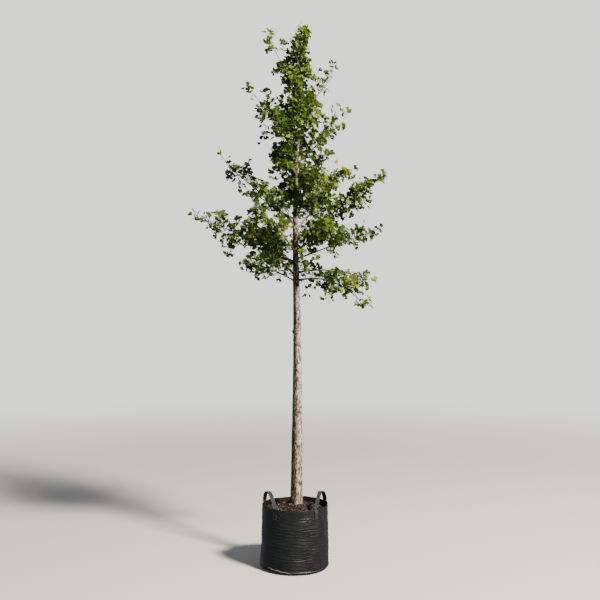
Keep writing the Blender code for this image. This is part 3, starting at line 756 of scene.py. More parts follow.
def bark_pores(tree, place):
    """(how dense they are, their tone) of the pores, thick in some places and few in others."""
    flow = add_node(tree, "TexNoise", {"Vector": place["Object"], "Scale": 38.0, "Detail": 2.0})
    pushed = add_node(
        tree,
        "VectorMath",
        {0: flow["Color"], 1: PORES_WANDER, 2: place["Object"]},
        operation="MULTIPLY_ADD",
    )
    spots = add_node(tree, "TexVoronoi", {"Vector": pushed["Vector"], "Scale": PORES_PER_METRE})
    spread = {"From Min": 0.42, "From Max": 0.60, "To Min": 0.15, "To Max": 0.9}
    dense = add_node(tree, "MapRange", {"Value": flow["Fac"], **spread})
    marks = add_node(
        tree, "ValToRGB", {"Fac": spots["Distance"]}, ((0.22, "#2d2721"), (0.34, "#ffffff"))
    )
    return dense["Result"], marks["Color"]


def bark_painted_shade(tree, place):
    """How much painted shade darkens the bark: more the further a place faces away from the sun."""
    away = add_node(tree, "VectorMath", {0: place["Normal"], 1: PAINTED_SHADE_SIDE}, operation="DOT_PRODUCT")
    shade_share = add_node(
        tree,
        "MapRange",
        {"Value": away["Value"], "From Min": -0.1, "From Max": 0.75},
        interpolation_type="SMOOTHSTEP",
    )
    return shade_share["Result"]


def trunk_bark_material():
    """Young ginkgo bark: dry and matt, light grey beige with corky lips low down and a smoother grey above,
    darker with painted shade of the crown, mottled, flecked with dark pores, and with painted shade away
    from the sun.
    """
    made, tree, place = new_material("ginkgo_bark_fissured")
    high = add_node(tree, "SeparateXYZ", {"Vector": place["Object"]})["Z"]
    old = add_node(tree, "MapRange", {"Value": high, "From Min": 2.35, "From Max": 1.55})
    low = add_node(tree, "MapRange", {"Value": high, "From Min": 1.25, "From Max": 0.85})
    drawn = add_node(tree, "Mapping", {"Vector": place["Object"], "Scale": FISSURES_PER_METRE})
    rough = {"Scale": 1.0, "Detail": 5.0, "Roughness": 0.66}
    cracks = add_node(tree, "TexNoise", {"Vector": drawn["Vector"], **rough})["Fac"]
    corky = add_node(tree, "ValToRGB", {"Fac": cracks}, CORKY_BARK)["Color"]
    # Slim bark above, darker with painted shade of the crown.
    slim_shaded = add_node(tree, "ValToRGB", {"Fac": cracks}, SLIM_BARK_PAINTED_SHADE)["Color"]
    skin = add_node(tree, "Mix", {"Factor": old["Result"], "A": slim_shaded, "B": corky}, data_type="RGBA")
    spread = {"Scale": MOTTLE_PER_METRE, "Detail": 2.0}
    patches = add_node(tree, "TexNoise", {"Vector": place["Object"], **spread})
    mottle = add_node(
        tree, "ValToRGB", {"Fac": patches["Fac"]}, ((0.40, "#7d7467"), (0.53, "#ffffff"))
    )
    tone = skin["Result"]
    for share, shade in (
        (0.85, mottle["Color"]),
        bark_pores(tree, place),
        # Painted shade, darkest on the side away from the sun.
        (bark_painted_shade(tree, place), linear(PAINTED_SHADE_TONE)),
        (low["Result"], linear(SOIL_SPLASH)),
    ):
        over = {"Factor": share, "A": tone, "B": shade}
        tone = add_node(tree, "Mix", over, data_type="RGBA", blend_type="MULTIPLY")["Result"]
    grain = add_node(tree, "Bump", {"Height": cracks, "Strength": 0.7, "Distance": 0.0015})
    look = {"Roughness": 0.86, "IOR": 1.45, "Specular IOR Level": 0.3}
    face = add_node(tree, "BsdfPrincipled", {"Base Color": tone, "Normal": grain["Normal"], **look})
    return finished(made, face["BSDF"])


def dry_material(name, tones, grain, roughness, ior=1.5, strength=0.7, depth=None):
    """A dry surface whose tone wanders over patches of grain metres, with bumps of depth metres."""
    made, tree, place = new_material(name)
    rough = {"Scale": 1 / grain, "Detail": 4.0, "Roughness": 0.6}
    patch = add_node(tree, "TexNoise", {"Vector": place["Object"], **rough})["Fac"]
    tone = add_node(tree, "ValToRGB", {"Fac": patch}, tones)
    bump = add_node(tree, "Bump", {"Height": patch, "Strength": strength, "Distance": depth or 0.3 * grain})
    look = {"Roughness": roughness, "IOR": ior, "Specular IOR Level": 0.3}
    joined = {"Base Color": tone["Color"], "Normal": bump["Normal"]}
    face = add_node(tree, "BsdfPrincipled", {**joined, **look})
    return finished(made, face["BSDF"])


def young_bark_material(name, dark, middle, light, spacing):
    """Bark of limbs and twigs: thin, matt, brown grey, with a fine wandering tone and a faint grain."""
    tones = ((0.34, dark), (0.5, middle), (0.66, light))
    return dry_material(name, tones, spacing, 0.8, 1.45, 0.5, 0.0005)


# Dry finishes that wander between two colours: dark, light, roughness, and size of the patches in metres.
PLAIN_FINISHES = {
    # Sawn wood that has weathered: dark and matt, and cracked open.
    "weathered_cut_wood": ("#1d1814", "#4a3f35", 0.9, 0.012),
    # Polypropylene along a fold: pale grey, a painted highlight along the fold's crest, and without gloss.
    "pale_fold_painted_highlight": ("#4c4d4e", "#8f8e8a", 0.6, 0.010),
    # Twisted polyester thread: black with a faint silky gloss.
    "black_polyester_thread": ("#1e1f22", "#313338", 0.5, 0.004),
    # Damp crumbled peat: nearly black, and quite matt.
    "peat_compost": ("#0f0c09", "#221b16", 0.95, 0.010),
    # Shredded pine bark, from fresh to rotted: matt flakes, some pink brown, some dark, a few tan.
    "pine_bark_chips_pink_brown": ("#2d2322", "#574845", 0.88, 0.012),
    "pine_bark_chips_dark_brown": ("#16100e", "#2c211c", 0.88, 0.012),
    "pine_bark_chips_tan": ("#5c5145", "#918370", 0.88, 0.012),
    "pine_bark_crumbs_compost": ("#17110e", "#33281f", 0.88, 0.012),
}


def plain_material(name):
    """A dry finish from PLAIN_FINISHES."""
    dark, light, roughness, grain = PLAIN_FINISHES[name]
    return dry_material(name, ((0.34, dark), (0.66, light)), grain, roughness)


def woven(tree, place, across, along, joined):
    """The height of a weave with so many metres from yarn to yarn. The UVs are in metres."""
    uv = add_node(tree, "SeparateXYZ", {"Vector": place["UV"]})
    waves = []
    for axis, apart in (("X", across), ("Y", along)):
        phase = add_node(tree, "Math", {0: uv[axis], 1: 2 * math.pi / apart}, operation="MULTIPLY")
        waves.append(add_node(tree, "Math", {0: phase["Value"]}, operation="SINE")["Value"])
    return add_node(tree, "Math", {0: waves[0], 1: waves[1]}, operation=joined)["Value"]


# The tapes of the bag's cloth are 2.5 mm wide. The film on it puckers over about 9 mm.
TAPE_PAIR = 0.005
PUCKERS_PER_METRE = (60.0, 60.0, 190.0)
# Ribs every 2 mm along the strap and yarns every 3 mm across it.
RIBS_APART = 0.002
YARNS_APART = 0.003


def bag_material():
    """Woven polypropylene with a laminated face: black, satin, with a fine weave of flat tapes that shows in
    the gloss, and patches a little paler with dust.
    """
    made, tree, place = new_material("black_woven_polypropylene")
    tapes = woven(tree, place, TAPE_PAIR, TAPE_PAIR, "MULTIPLY")
    dusty = {"Scale": 14.0, "Detail": 5.0, "Roughness": 0.6}
    cloud = add_node(tree, "TexNoise", {"Vector": place["Object"], **dusty})["Fac"]
    tones = ((0.3, "#0f1012"), (0.55, "#181a1c"), (0.75, "#242628"))
    tone = add_node(tree, "ValToRGB", {"Fac": cloud}, tones)
    gloss = add_node(tree, "MapRange", {"Value": cloud, "To Min": 0.36, "To Max": 0.52})
    drawn = add_node(tree, "Mapping", {"Vector": place["Object"], "Scale": PUCKERS_PER_METRE})
    puckers = add_node(tree, "TexNoise", {"Vector": drawn["Vector"], "Scale": 1.0, "Detail": 2.0})
    coarse = add_node(tree, "Bump", {"Height": puckers["Fac"], "Strength": 0.45, "Distance": 0.0012})
    under = {"Normal": coarse["Normal"], "Strength": 0.35, "Distance": 0.0003}
    fine = add_node(tree, "Bump", {"Height": tapes, **under})
    look = {"Base Color": tone["Color"], "Roughness": gloss["Result"], "IOR": 1.49}
    face = add_node(tree, "BsdfPrincipled", {**look, "Normal": fine["Normal"]})
    return finished(made, face["BSDF"])


def webbing_material():
    """Polypropylene webbing: black, slightly shiny, ribbed across where the yarns turn."""
    made, tree, place = new_material("black_polypropylene_webbing")
    weave = woven(tree, place, YARNS_APART, RIBS_APART, "ADD")
    patch = add_node(tree, "TexNoise", {"Vector": place["Object"], "Scale": 60.0, "Detail": 3.0})
    tone = add_node(tree, "ValToRGB", {"Fac": patch["Fac"]}, ((0.35, "#141518"), (0.7, "#212227")))
    bump = add_node(tree, "Bump", {"Height": weave, "Strength": 0.6, "Distance": 0.0004})
    joined = {"Base Color": tone["Color"], "Normal": bump["Normal"]}
    face = add_node(tree, "BsdfPrincipled", {**joined, "Roughness": 0.52, "IOR": 1.49, "Sheen Weight": 0.08})
    return finished(made, face["BSDF"])


# ---- Trunk and limbs ----

# The bark's relief: depth in metres, and features per metre along each axis.
FISSURE_DEPTH = 0.0013
FISSURE_SCALE = (85, 85, 28)
FISSURE_SHARPNESS = 2.2
GRAIN_DEPTH = 0.00045
GRAIN_SCALE = (230, 230, 80)
LUMP_DEPTH = 0.0020
LUMP_SCALE = (16, 16, 5)
# The bark is old and deeply fissured below the second height, and young above the first.
OLD_BARK = (2.3, 0.9)
# How deep the fissures and the grain are where the bark is young, in shares of where it is old.
YOUNG_FISSURES = 0.25
YOUNG_GRAIN = 0.4
# Shallow furrows that run up from between the roots, and how far the flare is held back on the side that
# the trunk leans to.
FURROWS = 5
FURROW_DEPTH = 0.0022
FLARE_HELD_BACK = 0.004
# Healed scars of early side shoots on the clear stem: height, azimuth.
SCARS = tuple((0.66 + 0.115 * k, 40 + GOLDEN_ANGLE * k) for k in range(13))
SCAR_HEIGHT = 0.0022
SCAR_SIZE = 0.010
# How far the collar of a limb reaches below it, above it and to its sides, and how high it stands, in
# shares of the limb's radius.
COLLAR_BELOW = 2.6
COLLAR_ABOVE = 1.5
COLLAR_HEIGHT = 0.35


def bark_relief(smooth, heights, radii):
    """Fissures, grain and lumps of the bark on the trunk's smooth grid of points."""
    old = smoothstep(*OLD_BARK, heights)[:, None]
    size = np.clip(radii / TRUNK_RADIUS, 0.05, 1)[:, None]
    fissures = 1 - FISSURE_SHARPNESS * np.abs(fractal_grid(smooth, FISSURE_SCALE))
    deep = YOUNG_FISSURES + (1 - YOUNG_FISSURES) * old
    relief = FISSURE_DEPTH * deep * np.clip(fissures, -1, 1) * size
    grain = fractal_grid(smooth, GRAIN_SCALE, 2)
    relief += GRAIN_DEPTH * grain * (YOUNG_GRAIN + (1 - YOUNG_GRAIN) * old) * size
    relief += LUMP_DEPTH * fractal_grid(smooth, LUMP_SCALE, 2) * size
    return relief


def turned_away(angles, azimuth):
    """How far each angle is from an azimuth, in radians, between -pi and pi."""
    return (angles - math.radians(azimuth) + math.pi) % (2 * math.pi) - math.pi


def scar(heights, angles, height, azimuth):
    """A low ring with a dip in it, wider than tall."""
    up = (heights - height)[:, None] / (0.6 * SCAR_SIZE)
    round_it = turned_away(angles, azimuth)[None] * trunk_radius(height) / SCAR_SIZE
    reach = np.sqrt(up * up + round_it * round_it)
    return SCAR_HEIGHT * (np.exp(-((reach - 0.9) ** 2) / 0.18) - 0.5 * np.exp(-(reach**2) / 0.2))


def collar(heights, angles, limb):
    """The swelling where a limb leaves the trunk, fuller below it."""
    size = limb_radius(limb, 0)
    rise = math.tan(math.radians(limb.rise)) * trunk_radius(limb.foot)
    up = (heights - limb.foot - rise)[:, None]
    up = np.where(up < 0, up / (COLLAR_BELOW * size), up / (COLLAR_ABOVE * size))
    round_it = turned_away(angles, limb.azimuth)[None] * trunk_radius(limb.foot) / (COLLAR_ABOVE * size)
    return COLLAR_HEIGHT * size * np.exp(-(up * up + round_it * round_it))


def make_trunk(finish, limbs):
    """The trunk with its fissures, the furrows of its foot, healed scars, and collars at the limbs' feet."""
    heights = np.linspace(SOIL_TOP - TRUNK_SUNK, TREE_TOP, BARK_RINGS)
    angles = circle(BARK_SIDES)
    centres = np.array([trunk_centre(h) for h in heights])
    radii = BARK_EASE * np.array([trunk_radius(h) for h in heights])
    around = round_points(angles, 1, np.zeros(BARK_SIDES))
    smooth = centres[:, None] + radii[:, None, None] * around[None]
    relief = bark_relief(smooth, heights, radii)
    for height, azimuth in SCARS:
        relief += scar(heights, angles, height, azimuth)
    for limb in limbs.values():
        relief += collar(heights, angles, limb)
    up = (heights - SOIL_TOP)[:, None]
    furrows = np.exp(-up / (2 * FLARE_HEIGHT)) * np.cos(FURROWS * angles + 0.8)[None]
    relief += FURROW_DEPTH * np.clip(furrows, -1.2, 1.2)
    relief -= FLARE_HELD_BACK * np.exp(-up / FLARE_HEIGHT) * np.clip(np.cos(angles), 0, 1)[None]
    points = smooth + relief[:, :, None] * around[None]
    ends = np.stack([centres[0], centres[-1] + (0, 0, 0.0005)])
    points = np.concatenate([points.reshape(-1, 3), ends])
    heap = Heap().add(points, closed_triangles(BARK_RINGS, BARK_SIDES))
    heap.piece("trunk_bark", finish, "bark", ["trunk"])


# The pruned shoot's outline from its root to its sunken end: share of the trunk's radius along it, and
# share of its own radius. The path turns back into the end, so the rings are laid out one by one.
STUB_PROFILE = (
    (0.5, 1.9), (0.95, 1.55), (1.08, 1.15), (1.2, 1.0),
    (1.3, 1.02), (1.34, 0.86), (1.33, 0.5), (1.29, 0.2),
)
STUB_SIDES = 20
STUB_WOBBLE = 0.10


def make_stub(finish):
    """The pruned shoot: a short thick peg with a lip of callus round its sunken end."""
    a = math.radians(STUB_AZIMUTH)
    out = Vector((math.cos(a), math.sin(a), STUB_SLOPE)).normalized()
    root = trunk_centre(STUB_HEIGHT)
    reach = trunk_radius(STUB_HEIGHT)
    side = out.orthogonal().normalized()
    other = out.cross(side)
    points = []
    for k, (share, wide) in enumerate(STUB_PROFILE):
        centre = root + out * reach * share
        for n in range(STUB_SIDES):
            angle = 2 * math.pi * n / STUB_SIDES
            place = Vector((3 * math.cos(angle), 3 * math.sin(angle), k))
            wobble = 1 + STUB_WOBBLE * noise.noise(place)
            away = side * math.cos(angle) + other * math.sin(angle)
            points.append(centre + away * STUB_RADIUS * wide * wobble)
    count = len(points)
    cap = cap_triangles(count - STUB_SIDES, STUB_SIDES, count, True)
    triangles = np.concatenate([grid_triangles(len(STUB_PROFILE), STUB_SIDES), cap])
    Heap().add([*points, centre], triangles).piece("pruned_stub", finish, "bark")


# How much a limb swells at its foot and over what length, how knotty it is, and how blunt its tip is.
FOOT_SWELL = 0.45
FOOT_SWELL_LENGTH = 0.014
KNOTS = 0.10
KNOTS_PER_METRE = 70
SPUR_RINGS = 0.06
LIMB_TIP_BLUNT = 0.45


def make_limbs(finish, limbs, boughs):
    """Each limb as one tapering branch from inside the trunk to its tip, with swollen rings at its spurs."""
    heap = Heap()
    for limb in limbs.values():
        count = max(6, math.ceil(limb.length / LIMB_RING_STEP))
        distances = [limb.length * k / (count - 1) for k in range(count)]
        path = [limb_point(limb, d) for d in distances]
        foot = trunk_radius(limb.foot)
        radii = []
        for d, point in zip(distances, path):
            swell = 1 + FOOT_SWELL * math.exp(-max(0, d - foot) / FOOT_SWELL_LENGTH)
            rings = SPUR_RINGS * math.sin(2 * math.pi * d / SPUR_STEP)
            knots = 1 + KNOTS * noise.noise(point * KNOTS_PER_METRE) + rings
            radii.append(limb_radius(limb, d) * swell * knots)
        radii[-1] *= LIMB_TIP_BLUNT
        heap.add(*tube(path, radii, LIMB_SIDES))
    heap.piece("limbs_bark", finish, "bark", boughs)


# ---- Twigs, spurs and leaves ----


class Shoot(NamedTuple):
    """A twig or twiglet: its bent path, its radii at both ends, and whether it is a twig."""

    path: list
    root_radius: float
    tip_radius: float
    is_twig: bool


def bent(root, tip, bow, segments):
    """Points from root to tip that bow sideways by a vector in the middle."""
    return [root.lerp(tip, s) + bow * (4 * s * (1 - s)) for s in (k / segments for k in range(segments + 1))]


def along_path(path, share):
    """(point, heading) at a share of a path of equal steps."""
    place = min(share, 0.999) * (len(path) - 1)
    k = int(place)
    return path[k].lerp(path[k + 1], place - k), (path[k + 1] - path[k]).normalized()


def from_front(point):
    """(x, z) of a point where it shows from the front at eye height, in the plane of the trunk."""
    eye_x, eye_y, eye_z = CAMERA_PLACE
    nearer = eye_y / (eye_y - point.y)
    return eye_x + (point.x - eye_x) * nearer, eye_z + (point.z - eye_z) * nearer


def shades_stem(point):
    """Whether a leaf there would keep the sun off the top of the bare stem."""
    axis = trunk_centre(point.z)
    lamp = Vector(KEY_PLACE) - axis
    level = Vector((lamp.x, lamp.y, 0))
    nearer = (point - axis).dot(level) / level.length_squared
    aside = (point - axis).cross(level.normalized()).z
    struck = axis.z - nearer * (Vector(KEY_PLACE).z - axis.z) / (1 - nearer)
    return nearer > 0.002 and abs(aside) < STEM_LIT_WIDTH and STEM_LIT_FROM < struck < STEM_LIT_TO


def in_the_open(point):
    """Whether a leaf there would close a gap in the crown, or hide or shade the stem low in it."""
    if shades_stem(point):
        return True
    x, z = from_front(point)
    if point.y < 0 and z < STEM_SHOWN_TO and abs(x - trunk_centre(z).x) < STEM_SHOWN_WIDTH:
        return True
    return any(math.hypot(x - open_x, z - open_z) < radius for open_x, open_z, radius in AIR)


def sprigs_of(name, limb):
    """(root, tip) of the single sprigs of a mass. Each stands as far back as its limb does there."""
    eye_x, eye_y, eye_z = CAMERA_PLACE
    found = []
    for owner, share, x, z in SPRIGS:
        if owner == name:
            root = limb_point(limb, share * limb.length)
            further = (eye_y - root.y) / eye_y
            tip = (eye_x + (x - eye_x) * further, root.y, eye_z + (z - eye_z) * further)
            found.append((root, Vector(tip)))
    return found


def bent_twig(root, tip, draw):
    """A twig that bows to one side and sags, thinner the shorter it is."""
    reach = (tip - root).length
    aside = swung((tip - root).normalized(), 90, draw.uniform(0, 360))
    bow = aside * BOW_ASIDE + Vector((0, 0, -BOW_SAG))
    path = bent(root, tip, bow * reach * TWIG_BOW, TWIG_SEGMENTS)
    size = 0.6 + 0.4 * min(1, reach / LONG_TWIG)
    return Shoot(path, TWIG_ROOT_RADIUS * size, TWIG_TIP_RADIUS, True)


def twiglets_on(name, twig, crown, draw):
    """Twiglets by the golden angle on a twig, where they stay in their own mass and off the wood."""
    reach = (twig.path[-1] - twig.path[0]).length
    found = []
    phase = draw.uniform(0, 360)
    for k, share in enumerate(TWIGLET_SHARES):
        point, heading = along_path(twig.path, share)
        out = swung(heading, TWIGLET_SPLAY, phase + GOLDEN_ANGLE * k)
        end = point + out * draw.uniform(*TWIGLET_REACH) * (0.6 + 0.4 * reach / LONG_TWIG)
        if crown.is_home(name, end) and crown.is_off_wood([end]) and not in_the_open(end):
            droop = Vector((0, 0, TWIGLET_DROOP)) * (end - point).length
            path = bent(point, end, droop, TWIGLET_SEGMENTS)
            found.append(Shoot(path, TWIGLET_RADIUS, TWIGLET_RADIUS * 0.7, False))
    return found


def shoots_of(name, limb, crown):
    """The bent twigs of a mass with their twiglets, and its single sprigs."""
    draw = random.Random(f"{name} shoots {SEED}")
    found = []
    for root, tip in twigs_of(name, limb):
        if not crown.takes_twig(name, root, tip) or in_the_open(tip):
            continue
        found.append(bent_twig(root, tip, draw))
        if (tip - root).length > TWIGLET_SHORTEST_TWIG:
            found += twiglets_on(name, found[-1], crown, draw)
    return found + [bent_twig(root, tip, draw) for root, tip in sprigs_of(name, limb)]


class Rosette(NamedTuple):
    """A spur: where it leaves the wood, which way it points, the wood's radius there and its leaves."""

    root: Vector
    out: Vector
    wood: float
    leaves: int


def rosettes_along(path, radii, first, step, counts, draw):
    """Spurs by the golden angle along a path of equal steps; radii are the wood's at its two ends."""
    found = []
    length = sum((b - a).length for a, b in zip(path, path[1:]))
    phase = draw.uniform(0, 360)
    for k in range(int((length - first) / step) + 1 if length > first else 0):
        share = min(1, (first + (k + draw.uniform(-SPUR_STRAY, SPUR_STRAY)) * step) / length)
        point, heading = along_path(path, share)
        out = swung(heading, SPUR_ANGLE, phase + GOLDEN_ANGLE * k)
        out = (out + Vector((0, 0, SPUR_LIFT))).normalized()
        found.append(Rosette(point, out, radii[0] + (radii[1] - radii[0]) * share, draw.choice(counts)))
    return found


def stretch(limb, start, end):
    """(path, radii) of the limb's wood between two distances along it."""
    steps = max(2, int((end - start) / PATH_STEP))
    path = [limb_point(limb, start + (end - start) * k / steps) for k in range(steps + 1)]
    return path, (limb_radius(limb, start), limb_radius(limb, end))


def rosettes_of(name, limb, shoots):
    """All spurs of one mass: on its bough, its stem, its twigs and its twiglets, and one at each tip."""
    draw = random.Random(f"{name} spurs {SEED}")
    clear = trunk_radius(limb.foot) + SPURS_OFF_TRUNK
    found = []
    if limb.bare:
        bough = stretch(limb, clear, limb.bare)
        found += rosettes_along(*bough, BOUGH_SPUR_FIRST, BOUGH_SPUR_STEP, BOUGH_LEAVES, draw)
    stem = stretch(limb, max(clear, limb.bare), limb.length)
    found += rosettes_along(*stem, STEM_SPUR_FIRST, SPUR_STEP, STEM_LEAVES, draw)
    tip = limb_point(limb, limb.length)
    found.append(Rosette(tip, limb_heading(limb, limb.length), 0.0, LIMB_TIP_LEAVES))
    for shoot in shoots:
        counts = TWIG_LEAVES if shoot.is_twig else TWIGLET_LEAVES
        radii = (shoot.root_radius, shoot.tip_radius)
        found += rosettes_along(shoot.path, radii, SPUR_FIRST, SPUR_STEP, counts, draw)
        point, heading = along_path(shoot.path, 1.0)
        found.append(Rosette(point, heading, 0.0, draw.choice(SHOOT_TIP_LEAVES)))
    return found


def leader_rosettes():
    """Spurs straight on the trunk, from where its leaves begin to just under the bare tip."""
    draw = random.Random(f"leader spurs {SEED}")
    highest = TREE_TOP - LEADER_BARE_TIP
    steps = int((highest - LEADER_LOWEST) / PATH_STEP)
    path = [trunk_centre(LEADER_LOWEST + (highest - LEADER_LOWEST) * k / steps) for k in range(steps + 1)]
    radii = (trunk_radius(LEADER_LOWEST), trunk_radius(highest))
    return rosettes_along(path, radii, 0.0, LEADER_SPUR_STEP, LEADER_LEAVES, draw)


# Four blades: depth of the notch, depth of the side lobes' waves, fold along the middle, curl of the rim.
LEAF_KINDS = (
    (0.34, 0.05, 0.10, 0.05),
    (0.20, 0.08, -0.08, 0.10),
    (0.46, 0.06, 0.16, -0.06),
    (0.10, 0.10, 0.05, 0.14),
)
RIM_POINTS = 9
INNER_POINTS = 5
INNER_REACH = 0.56
INNER_SPREAD_SHARE = 0.86


def leaf_blade(kind):
    """(points, triangles, uvs) of a fan of unit length along +Y, its upper face to +Z."""
    notch, waves, fold, curl = kind
    half = math.radians(LEAF_HALF_ANGLE)
    points = [(0.0, 0.0, 0.0)]
    uvs = [(0.5, 0.0)]
    for count, reach, spread in ((INNER_POINTS, INNER_REACH, INNER_SPREAD_SHARE), (RIM_POINTS, 1.0, 1.0)):
        for k in range(count):
            share = 2 * k / (count - 1) - 1
            angle = half * share * spread
            radius = reach
            if count == RIM_POINTS:
                radius *= 1 - 0.12 * share * share + waves * math.sin(5.1 * share + 9 * notch)
                radius -= notch if k == RIM_POINTS // 2 else 0
            x, y = radius * math.sin(angle), radius * math.cos(angle)
            z = fold * abs(x) + curl * radius * radius * math.cos(3.7 * share + 20 * notch)
            points.append((x, y, z))
            uvs.append((0.5 + 0.5 * share, radius))
    inner = 1
    rim = 1 + INNER_POINTS
    triangles = [(0, inner + k + 1, inner + k) for k in range(INNER_POINTS - 1)]
    for k in range(INNER_POINTS - 1):
        a, b = inner + k, inner + k + 1
        c, d, e = rim + 2 * k, rim + 2 * k + 1, rim + 2 * k + 2
        triangles += [(a, d, c), (a, b, d), (b, e, d)]
    return np.array(points), np.array(triangles), np.array(uvs)


# Tints of a spray, from the deep green of the shade to a few that turn yellow: dark tone, light tone, tone
# of the light through it, and how often it comes in the shade and in the sun.
# Sun leaves are paler than shade leaves, and dealing the tints out by how sunny a place is also paints light
# and shade into the leaves' colour.
TINTS = {
    "leaves_deep_green": ("#23360e", "#314813", "#4f731a", 5.0, 1.6),
    "leaves_green": ("#374f17", "#48611e", "#6d8f25", 3.6, 3.6),
    "leaves_fresh_green": ("#5b7323", "#6e862d", "#92ab35", 0.9, 3.0),
    "leaves_yellow_green": ("#848f38", "#9ca347", "#bac252", 0.12, 1.1),
    "leaves_yellow": ("#a09a38", "#b4ab48", "#c9c054", 0.0, 0.05),
}
SUN = Vector((0.55, -0.54, 0.64)).normalized()
# How sunny a place counts as, where the shaded inside is 0 and open sun is 1: at the trunk in the crown's
# middle, how much more at the crown's reach towards the sun and for each metre higher up, and at most.
SUNNY_AT_TRUNK = 0.45
SUNNY_OUTSIDE = 0.4
SUNNY_PER_METRE = 0.1
CROWN_REACH = 0.5
CROWN_MIDDLE = 2.8
SUNNIEST = 1.8
# Places of painted light, where the leaves get paler tints, and of painted shade, where the amount is below
# 0
# and they get deeper ones: x, z, how wide and how much.
PAINTED_LIGHT_AND_SHADE = (
    (-0.32, 2.53, 0.15, 1.1), (0.17, 3.0, 0.11, 0.3), (0.05, 2.92, 0.12, 0.3), (0.14, 2.62, 0.12, 0.4),
    (0.05, 3.7, 0.1, 0.5), (-0.26, 2.68, 0.13, -0.8), (-0.42, 2.84, 0.12, -0.5), (-0.11, 3.27, 0.12, -0.5),
    (-0.26, 3.42, 0.12, -0.4), (-0.04, 2.66, 0.13, -0.8), (-0.04, 2.37, 0.13, -0.6),
    (-0.34, 2.23, 0.15, -0.7), (0.26, 2.37, 0.14, -0.6), (0.36, 3.3, 0.14, -0.5), (-0.19, 2.51, 0.1, 1.0),
    (0.11, 2.81, 0.09, 0.8), (-0.04, 2.82, 0.09, -0.7), (-0.26, 2.84, 0.11, -0.6), (-0.03, 3.56, 0.11, 0.5),
    (0.11, 2.37, 0.08, -0.8), (0.11, 2.49, 0.07, -0.8), (0.4, 2.18, 0.12, 0.5), (-0.53, 2.52, 0.11, -0.6),
    (-0.49, 2.37, 0.1, -0.5),
)


def tint_of(point, draw):
    """The name of a spray's tint: paler with painted light on the sunny side and outside, deeper in painted
    shade.
    """
    outward = point - trunk_centre(point.z)
    sunny = SUNNY_AT_TRUNK + SUNNY_OUTSIDE * outward.dot(SUN) / CROWN_REACH
    sunny = min(1, sunny + SUNNY_PER_METRE * (point.z - CROWN_MIDDLE))
    x, z = from_front(point)
    for middle_x, middle_z, reach, more in PAINTED_LIGHT_AND_SHADE:
        sunny += more * math.exp(-((x - middle_x) ** 2 + (z - middle_z) ** 2) / reach**2)
    sunny = min(SUNNIEST, max(0, sunny))
    weights = [max(0, shade + (sun - shade) * sunny) for _, _, _, shade, sun in TINTS.values()]
    return draw.choices(list(TINTS), weights)[0]


def leaf_frame(along, up):
    """Columns side, along, normal as a 3 x 3 array."""
    side = along.cross(up)
    side = side.normalized() if side.length > 1e-4 else along.orthogonal().normalized()
    return np.array(Matrix((side, along, side.cross(along))).transposed())


def kept_share(point):
    """The share of spurs that stay at a point: few in the shaded inside, fewer in the thin place."""
    if (point - THIN_PLACE).length < THIN_REACH:
        return THIN_KEPT
    if point.z > SHED_HIGHEST:
        return 1
    level = point - trunk_centre(point.z)
    return max(0, min(1, (level.length - SHED_WITHIN) / (SHED_BEYOND - SHED_WITHIN)))


def drawn_vector(draw, most):
    """A vector whose three parts are drawn between -most and most."""
    return Vector([draw.uniform(-most, most) for _ in range(3)])


def grow_spur(rosette, draw, spurs):
    """Adds the spur's wood, except at the tip of a shoot, and returns the point that its leaves leave."""
    root, out, wood, _ = rosette
    length = wood + draw.uniform(*SPUR_LENGTH)
    if not wood:
        return root + out * TIP_BUD
    path = [root + out * (SPUR_SUNK * wood), root + out * (0.5 * (length + wood)), root + out * length]
    spurs.add(*tube(path, [SPUR_RADIUS * share for share in SPUR_SHAPE], 5))
    return path[-1]


def leaf_place(end, out, roll, size, crown, draw):
    """(bend, seat, direction, length) of a leaf whose stalk leaves end, or None where it finds no room."""
    for _ in range(LEAF_TRIES):
        away = swung(out, draw.uniform(*STALK_SPLAY), roll + draw.uniform(-STALK_ROLL, STALK_ROLL))
        stalk = draw.uniform(*STALK_LENGTH)
        droop = Vector((0, 0, -draw.uniform(*STALK_DROOP)))
        late = (away + droop).normalized()
        bend = end + away * STALK_PARTS[0] * stalk
        seat = bend + late * STALK_PARTS[1] * stalk
        along = (late + drawn_vector(draw, LEAF_STRAY)).normalized()
        length = draw.uniform(*LEAF_LENGTH) * size
        blade = [seat, seat + along * length * 0.5, seat + along * length]
        if crown.is_off_wood(blade) and not in_the_open(blade[1]):
            return bend, seat, along, length
    return None


def grow_rosette(rosette, crown, draw, heaps, blades):
    """A spur with its leaves, each on a stalk that bends under its weight."""
    spurs, stalks, leaves = heaps
    shed = draw.uniform(0, 1) > kept_share(rosette.root)
    if (shed and rosette.wood) or in_the_open(rosette.root):
        return
    end = grow_spur(rosette, draw, spurs)
    size, to_light = (1, LEAF_TO_LIGHT) if rosette.wood else (TIP_LEAF_SIZE, TIP_LEAF_TO_LIGHT)
    tint = tint_of(end, draw)
    phase = draw.uniform(0, 360)
    for k in range(rosette.leaves):
        placed = leaf_place(end, rosette.out, phase + GOLDEN_ANGLE * k, size, crown, draw)
        if placed is None:
            continue
        bend, seat, along, length = placed
        outward = seat - trunk_centre(seat.z)
        outward.z = LEAF_UPWARD * outward.length
        up = drawn_vector(draw, 1)
        up += outward.normalized() * LEAF_FACING + SUN * to_light
        points, triangles, uvs = blades[draw.randrange(len(blades))]
        leaves[tint].add(points * length @ leaf_frame(along, up).T + np.array(seat), triangles, uvs)
        path = [end, bend, seat + along * STALK_INTO_LEAF]
        stalks.add(*tube(path, [STALK_RADIUS * share for share in STALK_SHAPE], 3))


